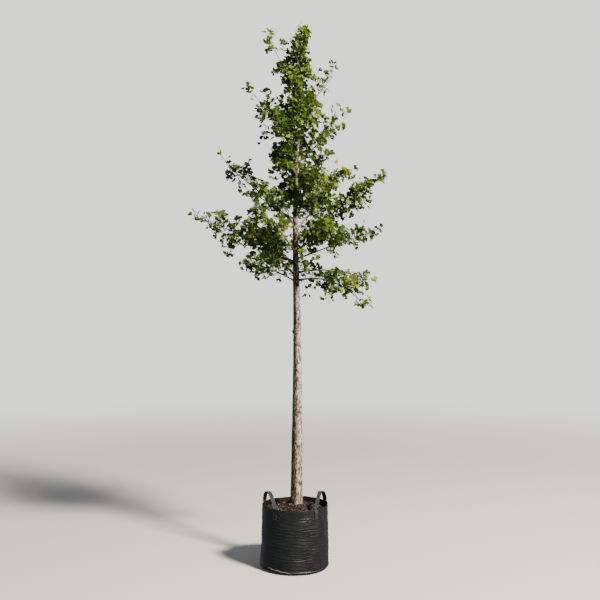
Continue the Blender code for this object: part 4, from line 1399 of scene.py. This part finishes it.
def make_foliage(finishes, limbs, crown, masses):
    """Twigs, spurs, stalks and leaves, each kind joined, and the leaves by tint."""
    twigs, spurs, stalks = Heap(), Heap(), Heap()
    leaves = {tint: Heap() for tint in TINTS}
    blades = [leaf_blade(kind) for kind in LEAF_KINDS]
    heaps = (spurs, stalks, leaves)
    for name, limb in limbs.items():
        shoots = shoots_of(name, limb, crown)
        for shoot in shoots:
            radii = np.linspace(shoot.root_radius, shoot.tip_radius, len(shoot.path))
            radii[-1] *= TWIG_TIP_BLUNT
            twigs.add(*tube(shoot.path, radii, 5 if shoot.is_twig else 4))
        draw = random.Random(f"{name} leaves {SEED}")
        for rosette in rosettes_of(name, limb, shoots):
            grow_rosette(rosette, crown, draw, heaps, blades)
    draw = random.Random(f"leader leaves {SEED}")
    for rosette in leader_rosettes():
        grow_rosette(rosette, crown, draw, heaps, blades)
    twigs.piece("twigs", finishes["twig"], "bark", masses)
    spurs.piece("spurs", finishes["spur"], "bark", masses)
    stalks.piece("leaf_stalks", finishes["stalk"], "foliage", masses)
    for tint, heap in leaves.items():
        heap.piece(tint, finishes[tint], "foliage", masses)


# ---- Bag ----

CREASES = 170
CREASES_LOWEST = 0.035
CREASES_HIGHEST = 0.385
# The level creases: length, tilt, width and depth, each from and to.
LEVEL_CREASES = ((0.08, 0.24), (-0.05, 0.05), (0.0045, 0.0075), (0.0009, 0.0022))
# The slanting pulls beside a handle's leg: degrees off it, height, length, tilt, width and depth.
LEG_PULLS = ((7, 16), (0.35, 0.42), (0.05, 0.10), (0.4, 0.9), (0.006, 0.010), (0.0012, 0.0024))
# How far a crease wavers along its length, and its waves per metre.
CREASE_WAVER = 0.003
CREASE_WAVES = 31
# The rim's slow waves: height, how many go round, and where they start. It also stands higher at the
# front: by how much, and over how many radians.
RIM_WAVES = ((0.0035, 2, 0.6), (0.0020, 5, 2.0), (0.0012, 11, 0.0))
RIM_FRONT = (0.006, 0.7)
# The bag bulges low down on one side: azimuth, height, how far out, and how wide in degrees and tall.
BULGE = (196, 0.05, 0.010, 34, 0.075)
# The wall's slow waves and its fine crumple: depth in metres, and features per metre along each axis.
WAVE_DEPTH = 0.0035
WAVE_SCALE = (7, 7, 5)
CRUMPLE_DEPTH = 0.0007
CRUMPLE_SCALE = (45, 45, 110)
# The underside and its rounded edge: how far inside the foot's radius, height, and how loose the cloth is.
UNDERSIDE = ((0.06, 0.0, 0.0), (0.012, 0.0, 0.1), (0.003, 0.0015, 0.2), (0.0, 0.006, 0.3))
# The base seam's bead: how far it stands out, half its height, and the rows round it.
SEAM_OUT = 0.0035
SEAM_HALF_HEIGHT = 0.0045
SEAM_ROWS = 9
# Over the rim and down the inside: how far in, in shares of INSIDE_STEP, and how far up from the rim.
INSIDE_STEP = BAG_THICKNESS * 1.6
OVER_THE_RIM = (
    (0.25, 0.0009), (0.75, 0.0009), (1.0, 0.0), (1.0, -0.004),
    (1.1, -0.02), (1.3, -0.04), (1.5, -INSIDE_DEPTH),
)
HEM_DEPTH = 0.0010
HEM_EDGE = 0.0015
SAGS_FROM = 0.30


class Crease(NamedTuple):
    """A fold in the bag's wall: azimuth and height of its middle, length, tilt, width and depth."""

    azimuth: float
    height: float
    length: float
    tilt: float
    width: float
    depth: float


# Sharper folds on the front: pulls up to the right handle, and slack low down.
PULLS = (
    Crease(287, 0.428, 0.090, 0.62, 0.0060, 0.0022),
    Crease(293, 0.413, 0.080, 0.55, 0.0055, 0.0020),
    Crease(284, 0.391, 0.130, 0.02, 0.0055, 0.0026),
    Crease(268, 0.112, 0.260, 0.00, 0.0055, 0.0020),
    Crease(281, 0.098, 0.200, 0.02, 0.0050, 0.0022),
    Crease(272, 0.084, 0.180, -0.02, 0.0050, 0.0020),
)


def wall_radius(height):
    """The outer radius of the bag's wall without its creases."""
    share = max(0, min(1, height / BAG_HEIGHT))
    return BAG_RIM_RADIUS + (BAG_WAIST_RADIUS - BAG_RIM_RADIUS) * (1 - share**3)


def creases():
    """Level creases where the filled bag has slumped, and slanting pulls below the handles' ends."""
    draw = random.Random(f"creases {SEED}")
    found = []
    for k in range(CREASES):
        height = CREASES_LOWEST + (CREASES_HIGHEST - CREASES_LOWEST) * (k + draw.uniform(0, 1)) / CREASES
        found.append(Crease(GOLDEN_ANGLE * k, height, *(draw.uniform(*ends) for ends in LEVEL_CREASES)))
    for leg in SEWN_LEGS:
        for side in (-1, 1, -1, 1):
            off, height, length, tilt, width, depth = (draw.uniform(*ends) for ends in LEG_PULLS)
            found.append(Crease(leg + side * off, height, length, -side * tilt, width, depth))
    return [*found, *PULLS]


def crease_relief(azimuths, heights):
    """How far each point of the wall moves out, in metres."""
    moved = np.zeros(azimuths.shape)
    for crease in creases():
        across = turned_away(azimuths, crease.azimuth) * BAG_WAIST_RADIUS
        waver = CREASE_WAVER * np.sin(across * CREASE_WAVES + crease.azimuth)
        up = heights - crease.height - crease.tilt * across - waver
        ends = np.exp(-((2 * across / crease.length) ** 4))
        fold = up / crease.width
        # A sharp valley with a rounded lip above it.
        moved += crease.depth * ends * (0.8 * np.exp(-((fold - 1.1) ** 2)) - np.exp(-(fold**2) * 2.2))
    return moved


def bulge(azimuths, heights):
    azimuth, height, out, wide, tall = BULGE
    across = turned_away(azimuths, azimuth) / math.radians(wide)
    return out * np.exp(-(across**2) - ((heights - height) / tall) ** 2)


def rim_drop(azimuths):
    """How much higher or lower the rim stands round the bag: it sags between the handles."""
    waves = sum(high * np.sin(count * azimuths + phase) for high, count, phase in RIM_WAVES)
    more, wide = RIM_FRONT
    return waves + more * np.exp(-((turned_away(azimuths, FRONT_AZIMUTH) / wide) ** 2))


def wall_drift(angle, height):
    """The slow bulge of the bag's wall at one place, as the shell has it."""
    radius = wall_radius(height)
    place = (math.cos(angle) * radius, math.sin(angle) * radius, height)
    drift = WAVE_DEPTH * fractal([place], WAVE_SCALE, 2)[0]
    return drift + float(bulge(np.array([angle]), np.array([height]))[0])


def outside_rows():
    """(radius, height, looseness) up the outside of the bag: underside, seam of the base, and wall."""
    rows = [(BAG_FOOT_RADIUS - inward, height, loose) for inward, height, loose in UNDERSIDE]
    seam = BASE_SEAM_RADIUS - SEAM_OUT
    for k in range(SEAM_ROWS):
        angle = -math.pi / 2 + math.pi * k / (SEAM_ROWS - 1)
        height = BASE_SEAM_HEIGHT + SEAM_HALF_HEIGHT * math.sin(angle)
        rows.append((seam + SEAM_OUT * math.cos(angle), height, 0.5))
    rows.append((BAG_WAIST_RADIUS - 0.001, BASE_SEAM_HEIGHT + 0.0085, 0.8))
    for k in reversed(range(WALL_ROWS)):
        height = BAG_HEIGHT + (2 * BASE_SEAM_HEIGHT - BAG_HEIGHT) * k / (WALL_ROWS - 1)
        rows.append((wall_radius(height), height, 1.0))
    return rows


def wall_relief(azimuths, radii, heights, loose):
    """How far the filled cloth stands out or in: creases, waves, crumple, bulge, and the folded hem."""
    base = round_points(azimuths, radii, heights)
    relief = crease_relief(azimuths, heights) * (loose == 1.0)
    relief += WAVE_DEPTH * fractal_grid(base, WAVE_SCALE, 2) * loose
    relief += CRUMPLE_DEPTH * fractal_grid(base, CRUMPLE_SCALE, 2) * (loose == 1.0)
    relief += bulge(azimuths, heights)
    hem = BAG_HEIGHT - HEM_HEIGHT
    return relief + HEM_DEPTH * smoothstep(hem - HEM_EDGE, hem + HEM_EDGE, heights)


def make_bag(finish):
    """A lofted shell: underside, seam of the base, creased wall, hem, and the inside down to the soil."""
    azimuths = circle(BAG_SIDES)
    radii, heights, shares = (np.array(column) for column in zip(*outside_rows()))
    azimuth_grid, z_grid = np.meshgrid(azimuths, heights)
    radius_grid = np.repeat(radii[:, None], BAG_SIDES, 1)
    radius_grid = radius_grid + wall_relief(azimuth_grid, radius_grid, z_grid, shares[:, None])
    z_grid = z_grid + smoothstep(SAGS_FROM, BAG_HEIGHT, z_grid) * rim_drop(azimuths)[None]
    inside = [(radius_grid[-1] - INSIDE_STEP * inward, z_grid[-1] + up) for inward, up in OVER_THE_RIM]
    radius_grid = np.concatenate([radius_grid, [r for r, _ in inside]])
    z_grid = np.concatenate([z_grid, [z for _, z in inside]])
    points = round_points(np.repeat(azimuths[None], len(radius_grid), 0), radius_grid, z_grid)
    count = len(points) * BAG_SIDES
    run = np.concatenate([[0], np.cumsum(np.hypot(np.diff(radius_grid[:, 0]), np.diff(z_grid[:, 0])))])
    u = np.repeat((azimuths * BAG_WAIST_RADIUS)[None], len(points), 0)
    uvs = np.stack([u, np.repeat(run[:, None], BAG_SIDES, 1)], -1).reshape(-1, 2)
    triangles = [grid_triangles(len(points), BAG_SIDES), cap_triangles(0, BAG_SIDES, count, False)]
    points = np.concatenate([points.reshape(-1, 3), [(0, 0, 0)]])
    heap = Heap().add(points, np.concatenate(triangles), np.concatenate([uvs, [(0, 0)]]))
    heap.piece("bag_shell", finish, "bag", ["bag"])


# The fold low on the left front, with a painted highlight: azimuth and height of its ends, its points and
# radius.
FOLD = ((221, 0.041), (267, 0.0165))
FOLD_POINTS = 60
FOLD_RADIUS = 0.0026


def make_fold(finish):
    """A fold of the wall above the base seam, painted pale along its crest as a highlight."""
    (first, high), (last, low) = FOLD
    path, radii = [], []
    for k in range(FOLD_POINTS):
        share = k / (FOLD_POINTS - 1)
        angle = math.radians(first + (last - first) * share)
        height = high + (low - high) * share**0.8 + 0.0012 * math.sin(share * 19)
        radius = wall_radius(height) + wall_drift(angle, height) + 0.0012 + 0.0015 * (1 - share)
        path.append((radius * math.cos(angle), radius * math.sin(angle), height))
        radii.append(FOLD_RADIUS * math.sin(math.pi * min(1, 0.04 + 0.92 * share)) ** 0.35)
    Heap().add(*tube(path, radii, 10)).piece("base_fold", finish, "bag")


# Rows of stitches round the bag, along the hem and along the base seam: height, radius, distance from
# stitch to stitch, and whether the row sags with the rim.
STITCH_ROWS = (
    (BAG_HEIGHT - HEM_HEIGHT + 0.004, wall_radius(BAG_HEIGHT) + 0.0014, 0.007, True),
    (BASE_SEAM_HEIGHT + 0.0095, BAG_WAIST_RADIUS + 0.0004, 0.008, False),
)
# Each stitch shows over this part of its distance.
STITCH_SHOWN = (0.12, 0.78)
THREAD_RADIUS = 0.0006
BOX_THREAD_RADIUS = 0.0005
# The box with a cross at each end of the handles: how far it lies above the leg's end, its height, how far
# inside the strap's edges, the distance from stitch to stitch, and how far the thread lies off the middle.
BOX_LIFT = 0.006
BOX_HEIGHT = 0.050
BOX_INSET = 0.004
BOX_SPACING = 0.0045
BOX_OUT = 0.40


def stitch(heap, start, end, outward, radius=THREAD_RADIUS):
    """One visible stitch of thread, bowed out from the cloth."""
    middle = (start + end) / 2 + outward * radius
    sunk = outward * radius * 0.5
    path = [start - sunk, start.lerp(middle, 0.6), middle, end.lerp(middle, 0.6), end - sunk]
    heap.add(*tube(path, (radius * 0.6, radius, radius, radius, radius * 0.6), 5))


def add_round_stitches(heap, height, radius, spacing, sags):
    """A row of stitches right round the bag."""
    count = int(2 * math.pi * radius / spacing)
    for k in range(count):
        a, b = (2 * math.pi * (k + s) / count for s in STITCH_SHOWN)
        middle = (a + b) / 2
        outward = Vector((math.cos(middle), math.sin(middle), 0))
        shift = float(rim_drop(np.array([middle]))[0]) if sags else 0.0
        out = radius + wall_drift(middle, height)
        ends = [Vector((math.cos(t) * out, math.sin(t) * out, height + shift)) for t in (a, b)]
        stitch(heap, *ends, outward)


def add_box_stitch(heap, leg):
    """A box with a cross in thread, over the lower part of a sewn leg."""
    low = BAG_HEIGHT - HANDLE_SEWN + BOX_LIFT
    high = low + BOX_HEIGHT
    wide = STRAP_WIDTH / 2 - BOX_INSET
    corners = ((-wide, low), (wide, low), (wide, high), (-wide, high))
    lines = [*zip(corners, corners[1:] + corners[:1]), (corners[0], corners[2]), (corners[1], corners[3])]
    for (x0, z0), (x1, z1) in lines:
        count = max(3, int(math.hypot(x1 - x0, z1 - z0) / BOX_SPACING))
        for k in range(count):
            ends = []
            for share in ((k + 0.1) / count, (k + 0.8) / count):
                across, height = x0 + (x1 - x0) * share, z0 + (z1 - z0) * share
                centre, along = strap_place(leg, height)
                outward = Vector((centre.x, centre.y, 0)).normalized()
                ends.append(centre + along * across + outward * (BOX_OUT * STRAP_THICKNESS))
            stitch(heap, *ends, outward, BOX_THREAD_RADIUS)


def make_stitches(finish):
    """Thread along the hem, along the base seam and in a box with a cross at each end of the handles."""
    heap = Heap()
    for row in STITCH_ROWS:
        add_round_stitches(heap, *row)
    for leg in SEWN_LEGS:
        add_box_stitch(heap, leg)
    heap.piece("stitching", finish, "webbing")


# ---- Handles ----


def strap_place(azimuth, height):
    """(centre, direction along the wall) of webbing that lies flat on the outside of the bag."""
    a = math.radians(azimuth)
    radius = BAG_RIM_RADIUS if height >= BAG_HEIGHT else wall_radius(height) + STRAP_EASE
    radius += STRAP_THICKNESS / 2
    centre = Vector((radius * math.cos(a), radius * math.sin(a), height))
    return centre, Vector((-math.sin(a), math.cos(a), 0))


def handle_stations(name):
    """(centre, width direction) up the first leg, over the arch and down the other leg.

    The arch stands on the straight line between its legs. Just above the rim the webbing turns, and
    from HANDLE_TURNED of the way up its width points outwards.
    """
    legs = HANDLE_LEGS[name]
    low = BAG_HEIGHT - HANDLE_SEWN
    sewn = (low, low + 0.3 * HANDLE_SEWN, low + 0.7 * HANDLE_SEWN)
    (first, first_width), (last, last_width) = (strap_place(azimuth, BAG_HEIGHT) for azimuth in legs)
    chord = last - first
    outward = Vector((chord.y, -chord.x, 0)).normalized()
    stations = [strap_place(legs[0], height) for height in sewn]
    for share in HANDLE_ARCH_SHARES:
        lift = math.sin(math.pi * share)
        rise = Vector((0, 0, HANDLE_RISE)) + outward * HANDLE_LEAN[name]
        centre = first + chord * (1 - math.cos(math.pi * share)) / 2 + rise * lift**HANDLE_PEAK
        near = first if share < 0.5 else last
        turn = min(1, lift / HANDLE_TURNED["back" if near.y > 0 else "front"])
        turn *= turn * (3 - 2 * turn)
        flat = first_width if share < 0.5 else -last_width
        stations.append((centre, (flat * (1 - turn) + outward * turn).normalized()))
    for height in reversed(sewn):
        centre, width = strap_place(legs[1], height)
        stations.append((centre, -width))
    return stations


def eased(stations, steps):
    """Points and width directions on a smooth curve through the stations."""
    both = np.array([(*centre, *width) for centre, width in stations])
    padded = np.concatenate([[2 * both[0] - both[1]], both, [2 * both[-1] - both[-2]]])
    found = []
    for k in range(1, len(padded) - 2):
        a, b, c, d = padded[k - 1 : k + 3]
        for n in range(steps):
            t = n / steps
            square, cube = 2 * a - 5 * b + 4 * c - d, 3 * b - a - 3 * c + d
            found.append(0.5 * (2 * b + (c - a) * t + square * t**2 + cube * t**3))
    found = np.array([*found, padded[-2]])
    return found[:, :3], found[:, 3:]


# One face of the strap's cross-section: (share of half its width, share of half its thickness), with a
# selvedge along each edge that is a little thicker than the middle. The other face mirrors it.
STRAP_FACE = (
    (1.0, 0.45), (0.97, 1.0), (0.86, 1.1), (0.76, 0.78), (0.25, 0.72),
    (-0.25, 0.72), (-0.76, 0.78), (-0.86, 1.1), (-0.97, 1.0), (-1.0, 0.45),
)
STRAP_SECTION = np.array([*STRAP_FACE, *((across, -up) for across, up in reversed(STRAP_FACE))])
HANDLE_STEPS = 6
# How far the webbing bows between its edges, and how much its width wanders, with their waves per metre.
STRAP_BOW = 0.0006
STRAP_BOW_WAVES = 55
STRAP_WANDER = 0.03
STRAP_WANDER_WAVES = 38


def make_handle(name, finish):
    """Webbing that is sewn flat to the wall at both legs and arches up between them."""
    legs = HANDLE_LEGS[name]
    path, widths = eased(handle_stations(name), HANDLE_STEPS)
    tangents = unit_rows(np.gradient(path, axis=0))
    widths = unit_rows(widths - tangents * (widths * tangents).sum(1)[:, None])
    normals = np.cross(tangents, widths)
    run = np.concatenate([[0], np.cumsum(np.linalg.norm(np.diff(path, axis=0), axis=1))])
    shares, ups = STRAP_SECTION.T
    middle = np.exp(-((shares / 0.6) ** 2))
    sides = len(STRAP_SECTION)
    rings, uvs = [], []
    for k in range(len(path)):
        wave = STRAP_BOW * math.sin(run[k] * STRAP_BOW_WAVES + legs[0])
        wander = 1 + STRAP_WANDER * math.sin(run[k] * STRAP_WANDER_WAVES + legs[1])
        across = shares * (STRAP_WIDTH / 2 * wander)
        up = ups * STRAP_THICKNESS / 2 + wave * middle
        rings.append(path[k] + across[:, None] * widths[k] + up[:, None] * normals[k])
        uvs.append(np.stack([across, np.full(sides, run[k])], -1))
    points = np.concatenate([*rings, path[:1], path[-1:]])
    uvs = np.concatenate([*uvs, [(0, 0), (0, run[-1])]])
    heap = Heap().add(points, closed_triangles(len(path), sides), uvs)
    heap.piece(f"{name}_webbing", finish, "webbing", [name])


# ---- Root ball ----

SOIL_RINGS = 70
SOIL_SIDES = 180
# The compost's side, just inside the bag: radius, height.
SOIL_SIDE = (
    (BAG_FOOT_RADIUS - 0.02, 0.004),
    (BAG_FOOT_RADIUS - 0.009, 0.03),
    (BAG_WAIST_RADIUS - 0.009, 0.12),
    (BAG_WAIST_RADIUS - 0.010, 0.28),
    (BAG_RIM_RADIUS - 0.007, 0.38),
)
SOIL_EDGE_GAP = 0.008
SOIL_MIDDLE_RADIUS = 0.004
# The mound: share of the rim's radius, and share of the mound's height that it has dropped there.
MOUND = ((0.62, 0.55), (0.85, 0.85))
# Its lumps and its crumbs: height in metres, and features per metre along each axis.
LUMPS_HIGH = 0.010
LUMPS_PER_METRE = (14, 14, 1)
CRUMBS_HIGH = 0.0045
CRUMBS_PER_METRE = (60, 60, 1)


def soil_height(radius):
    """The mound's height at a distance from the bag's axis, before its lumps."""
    mound = SOIL_TOP - SOIL_EDGE
    edge = BAG_RIM_RADIUS
    places = [0, SOIL_SEAT_RADIUS, 1.5 * SOIL_SEAT_RADIUS, *(share * edge for share, _ in MOUND), edge]
    heights = [SOIL_TOP, SOIL_TOP, SOIL_TOP - 0.25 * mound, *(SOIL_TOP - drop * mound for _, drop in MOUND)]
    return np.interp(radius, places, [*heights, SOIL_EDGE])


def soil_surface(x, y):
    """The lumpy top of the soil, calmer round the trunk's seat."""
    radius = np.hypot(x, y)
    flat = np.stack([x, y, np.zeros_like(x)], -1)
    lumps = LUMPS_HIGH * fractal_grid(flat, LUMPS_PER_METRE, 2)
    lumps += CRUMBS_HIGH * fractal_grid(flat, CRUMBS_PER_METRE)
    seat = smoothstep(SOIL_SEAT_RADIUS * 1.2, SOIL_SEAT_RADIUS * 0.6, radius)
    return soil_height(radius) + lumps * (1 - 0.6 * seat)


def make_soil(finish):
    """The root ball: a lumpy mound of compost whose side follows the bag and whose foot is flat."""
    azimuths = circle(SOIL_SIDES)
    radii = np.linspace(BAG_RIM_RADIUS - SOIL_EDGE_GAP, SOIL_MIDDLE_RADIUS, SOIL_RINGS)
    azimuth_grid, radius_grid = np.meshgrid(azimuths, radii)
    x, y = radius_grid * np.cos(azimuth_grid), radius_grid * np.sin(azimuth_grid)
    top = np.stack([x, y, soil_surface(x, y)], -1)
    side = [round_points(azimuths, radius, np.full(SOIL_SIDES, height)) for radius, height in SOIL_SIDE]
    rings = np.concatenate([side, top])
    ends = [(0, 0, SOIL_SIDE[0][1]), (0, 0, SOIL_TOP)]
    heap = Heap().add(np.concatenate([rings.reshape(-1, 3), ends]), closed_triangles(len(rings), SOIL_SIDES))
    heap.piece("root_ball_compost", finish, "soil", ["root_ball"])


# Bark chips and crumbs: name, how many, and the length from and to.
CHIPS = (
    ("chips_pink_brown", 240, 0.010, 0.030),
    ("chips_dark_brown", 470, 0.008, 0.028),
    ("chips_tan", 80, 0.007, 0.020),
    ("crumbs_compost", 900, 0.003, 0.008),
)
# Fewer chips lie on the right, where the dark compost shows, so that side reads darker as painted shade.
SPARSE_FROM = 0.075
SPARSE_SHARE = 0.7
CHIPS_INSIDE = 0.016
CHIP_TILT = 0.38
# A chip's width and thickness, in shares of its length, how far its corners stray round it, in shares of a
# side, and up and down, in shares of its thickness, and its layers: height and size, in shares.
CHIP_WIDTH = (0.4, 0.75)
CHIP_THICKNESS = (0.14, 0.3)
CORNER_STRAY = 0.25
CORNER_LIFT = 0.12
CHIP_LAYERS = ((-0.5, 0.72), (0.0, 1.0), (0.5, 0.8))


def chip(draw, length):
    """A flake of bark: an uneven five or six sided plate with worn edges, about its own middle."""
    sides = draw.choice((5, 6))
    wide = length * draw.uniform(*CHIP_WIDTH)
    thick = length * draw.uniform(*CHIP_THICKNESS)
    turn = draw.uniform(0, 1)
    outline = []
    for k in range(sides):
        angle = 2 * math.pi * (k + turn + draw.uniform(-CORNER_STRAY, CORNER_STRAY)) / sides
        outline.append((math.cos(angle) * length / 2, math.sin(angle) * wide / 2))
    points = []
    for height, share in CHIP_LAYERS:
        for x, y in outline:
            lift = draw.uniform(-CORNER_LIFT, CORNER_LIFT)
            points.append((x * share, y * share, thick * (height + lift)))
    return np.array([*points, (0, 0, -0.5 * thick), (0, 0, 0.5 * thick)]), closed_triangles(3, sides)


def chip_fits(draw, x, y, length):
    """Whether a chip may lie there: not too many on the sparse side, and clear of the trunk and the bag."""
    if x > SPARSE_FROM and draw.uniform(0, 1) < SPARSE_SHARE:
        return False
    from_trunk = math.hypot(x - TRUNK_FOOT_X, y) - TRUNK_RADIUS - ROOT_FLARE
    to_edge = BAG_RIM_RADIUS - SOIL_EDGE_GAP
    return from_trunk >= 0.35 * length and math.hypot(x, y) + 0.5 * length <= to_edge


def make_chips(finishes):
    """Bark chips strewn over the soil, half sunk and tilted, clear of the trunk and the bag."""
    for name, count, shortest, longest in CHIPS:
        draw = random.Random(f"{name} {SEED}")
        heap = Heap()
        while len(heap.points) < count:
            radius = (BAG_RIM_RADIUS - CHIPS_INSIDE) * math.sqrt(draw.uniform(0, 1))
            angle = draw.uniform(0, 2 * math.pi)
            x, y = radius * math.cos(angle), radius * math.sin(angle)
            length = draw.uniform(shortest, longest)
            if not chip_fits(draw, x, y, length):
                continue
            points, triangles = chip(draw, length)
            tilts = [Matrix.Rotation(draw.gauss(0, CHIP_TILT), 3, axis) for axis in "XY"]
            turn = np.array(tilts[0] @ tilts[1] @ Matrix.Rotation(draw.uniform(0, 2 * math.pi), 3, "Z"))
            height = float(soil_surface(np.array([[x]]), np.array([[y]]))[0, 0])
            heap.add(points @ turn.T + (x, y, height + 0.08 * length), triangles)
        heap.piece(name, finishes[name], "soil", smooth=False)


# ---- Studio ----

CAMERA_PLACE = (0.038, -6.39, 1.995)
CAMERA_LENS = 51
CAMERA_SENSOR = 36

KEY_PLACE = (7.2, -7.1, 10.6)
KEY_AIM = (0, 0, 2.2)
KEY_SIZE = 2.2
KEY_POWER = 6700
KEY_COLOUR = "#fff2e0"
SKY_COLOUR = "#e4e9f2"
SKY_STRENGTH = 0.30
FLOOR_COLOUR = "#d2d0cb"
FLOOR_PLAIN = 3.2
FLOOR_RADIUS = 11.0
FLOOR_DROP = 0.0005
BACKDROP_COLOUR = "#f2f1ee"
BACKDROP_RADIUS = 30.0
BACKDROP_GLOW = 1.7
STAGE_SIDES = 96
STAGE_RINGS = 24


def make_camera():
    """A level camera at eye height, in front of the tree."""
    lens = bpy.data.cameras.new("camera")
    lens.lens = CAMERA_LENS
    lens.sensor_width = CAMERA_SENSOR
    made = new_object("camera", lens)
    made.location = CAMERA_PLACE
    made.rotation_euler = (math.radians(90), 0, 0)
    bpy.context.scene.camera = made


def make_key_light():
    """A large soft lamp from the front right, high up."""
    lamp = bpy.data.lights.new("key", "AREA")
    lamp.shape = "DISK"
    lamp.size = KEY_SIZE
    lamp.energy = KEY_POWER
    lamp.color = linear(KEY_COLOUR)[:3]
    made = new_object("key", lamp)
    made.location = KEY_PLACE
    made.rotation_euler = (Vector(KEY_AIM) - Vector(KEY_PLACE)).to_track_quat("-Z", "Y").to_euler()
    made.visible_camera = False


def make_sky():
    """A weak even light from all round."""
    world = bpy.data.worlds.new("studio")
    bpy.context.scene.world = world
    world.use_nodes = True
    sky = world.node_tree.nodes["Background"]
    sky.inputs["Color"].default_value = linear(SKY_COLOUR)
    sky.inputs["Strength"].default_value = SKY_STRENGTH


def stage_piece(name, points, faces, finish):
    """A piece of the studio that is seen but throws no light back on the tree."""
    made = new_mesh(name, points, faces, finish)
    for seen_by in ("diffuse", "glossy", "transmission", "shadow"):
        setattr(made, "visible_" + seen_by, False)


def floor_material():
    """Matt pale studio floor that fades out before its edge, so that no horizon shows."""
    made, tree, place = new_material("pale_studio_floor")
    reach = add_node(tree, "VectorMath", {0: place["Object"]}, operation="LENGTH")
    fade = add_node(
        tree,
        "MapRange",
        {"Value": reach["Value"], "From Min": FLOOR_PLAIN, "From Max": FLOOR_RADIUS},
        interpolation_type="SMOOTHSTEP",
    )
    matt = add_node(tree, "BsdfPrincipled", {"Base Color": linear(FLOOR_COLOUR), "Roughness": 0.9})
    clear = add_node(tree, "BsdfTransparent")
    both = {"Fac": fade["Result"], 1: matt["BSDF"], 2: clear["BSDF"]}
    return finished(made, add_node(tree, "MixShader", both)["Shader"])


def backdrop_material():
    """Evenly lit pale backdrop."""
    made, tree, _ = new_material("pale_studio_backdrop")
    glow = add_node(tree, "Emission", {"Color": linear(BACKDROP_COLOUR), "Strength": BACKDROP_GLOW})
    return finished(made, glow["Emission"])


def make_floor():
    """A round floor just under the bag."""
    turns = [2 * math.pi * k / STAGE_SIDES for k in range(STAGE_SIDES)]
    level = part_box("bag")[0].z - FLOOR_DROP
    rim = [(FLOOR_RADIUS * math.cos(t), FLOOR_RADIUS * math.sin(t), level) for t in turns]
    stage_piece("floor", rim, [tuple(range(STAGE_SIDES))], floor_material())


def make_backdrop():
    """A ball round the whole studio."""
    slopes = [math.pi * (k / STAGE_RINGS - 0.5) for k in range(1, STAGE_RINGS)]
    turns = circle(STAGE_SIDES)
    rings = [round_points(turns, math.cos(a), np.full(STAGE_SIDES, math.sin(a))) for a in slopes]
    points = np.concatenate([*rings, [(0, 0, -1), (0, 0, 1)]]) * BACKDROP_RADIUS
    faces = closed_triangles(len(slopes), STAGE_SIDES)
    stage_piece("backdrop", points.tolist(), faces.tolist(), backdrop_material())


# ---- The whole tree ----

# Young bark: name, dark, middle and light tone, and the size of its patches in metres.
LIMB_BARK = ("ginkgo_limb_bark", "#3b352c", "#645b4e", "#8f8575", 0.016)
TWIG_BARK = ("ginkgo_twig_bark", "#40372b", "#675b49", "#8c7f69", 0.012)
SPUR_BARK = ("ginkgo_spur_bark", "#4a4034", "#6f6350", "#94886f", 0.008)


def make_finishes():
    """The finishes of the leaves, twigs, spurs, stalks and chips, by the name of their piece or kind."""
    finishes = {}
    for tint, (dark, light, glow, *_) in TINTS.items():
        finishes[tint] = leaf_material(tint.replace("leaves", "ginkgo_leaf"), dark, light, glow)
    finishes["twig"] = young_bark_material(*TWIG_BARK)
    finishes["spur"] = young_bark_material(*SPUR_BARK)
    finishes["stalk"] = stalk_material()
    for name, *_ in CHIPS:
        finishes[name] = plain_material("pine_bark_" + name)
    return finishes


def make_tree(finishes):
    """Trunk, stub, limbs and leaves, in place of the masses, the boughs and the trunk."""
    limbs = named_limbs()
    masses = [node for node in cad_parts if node.startswith("foliage")]
    boughs = [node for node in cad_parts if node.startswith("bough")]
    make_trunk(trunk_bark_material(), limbs)
    make_stub(plain_material("weathered_cut_wood"))
    make_limbs(young_bark_material(*LIMB_BARK), limbs, boughs)
    make_foliage(finishes, limbs, Crown(limbs), masses)


def make_root_ball(finishes):
    """The bag with its handles and stitches, and the compost with its chips."""
    make_bag(bag_material())
    make_fold(plain_material("pale_fold_painted_highlight"))
    strap = webbing_material()
    for name in HANDLE_LEGS:
        make_handle(name, strap)
    make_stitches(plain_material("black_polyester_thread"))
    make_soil(plain_material("peat_compost"))
    make_chips(finishes)


def main():
    finishes = make_finishes()
    make_tree(finishes)
    make_root_ball(finishes)
    make_camera()
    make_key_light()
    make_sky()
    make_floor()
    make_backdrop()


main()
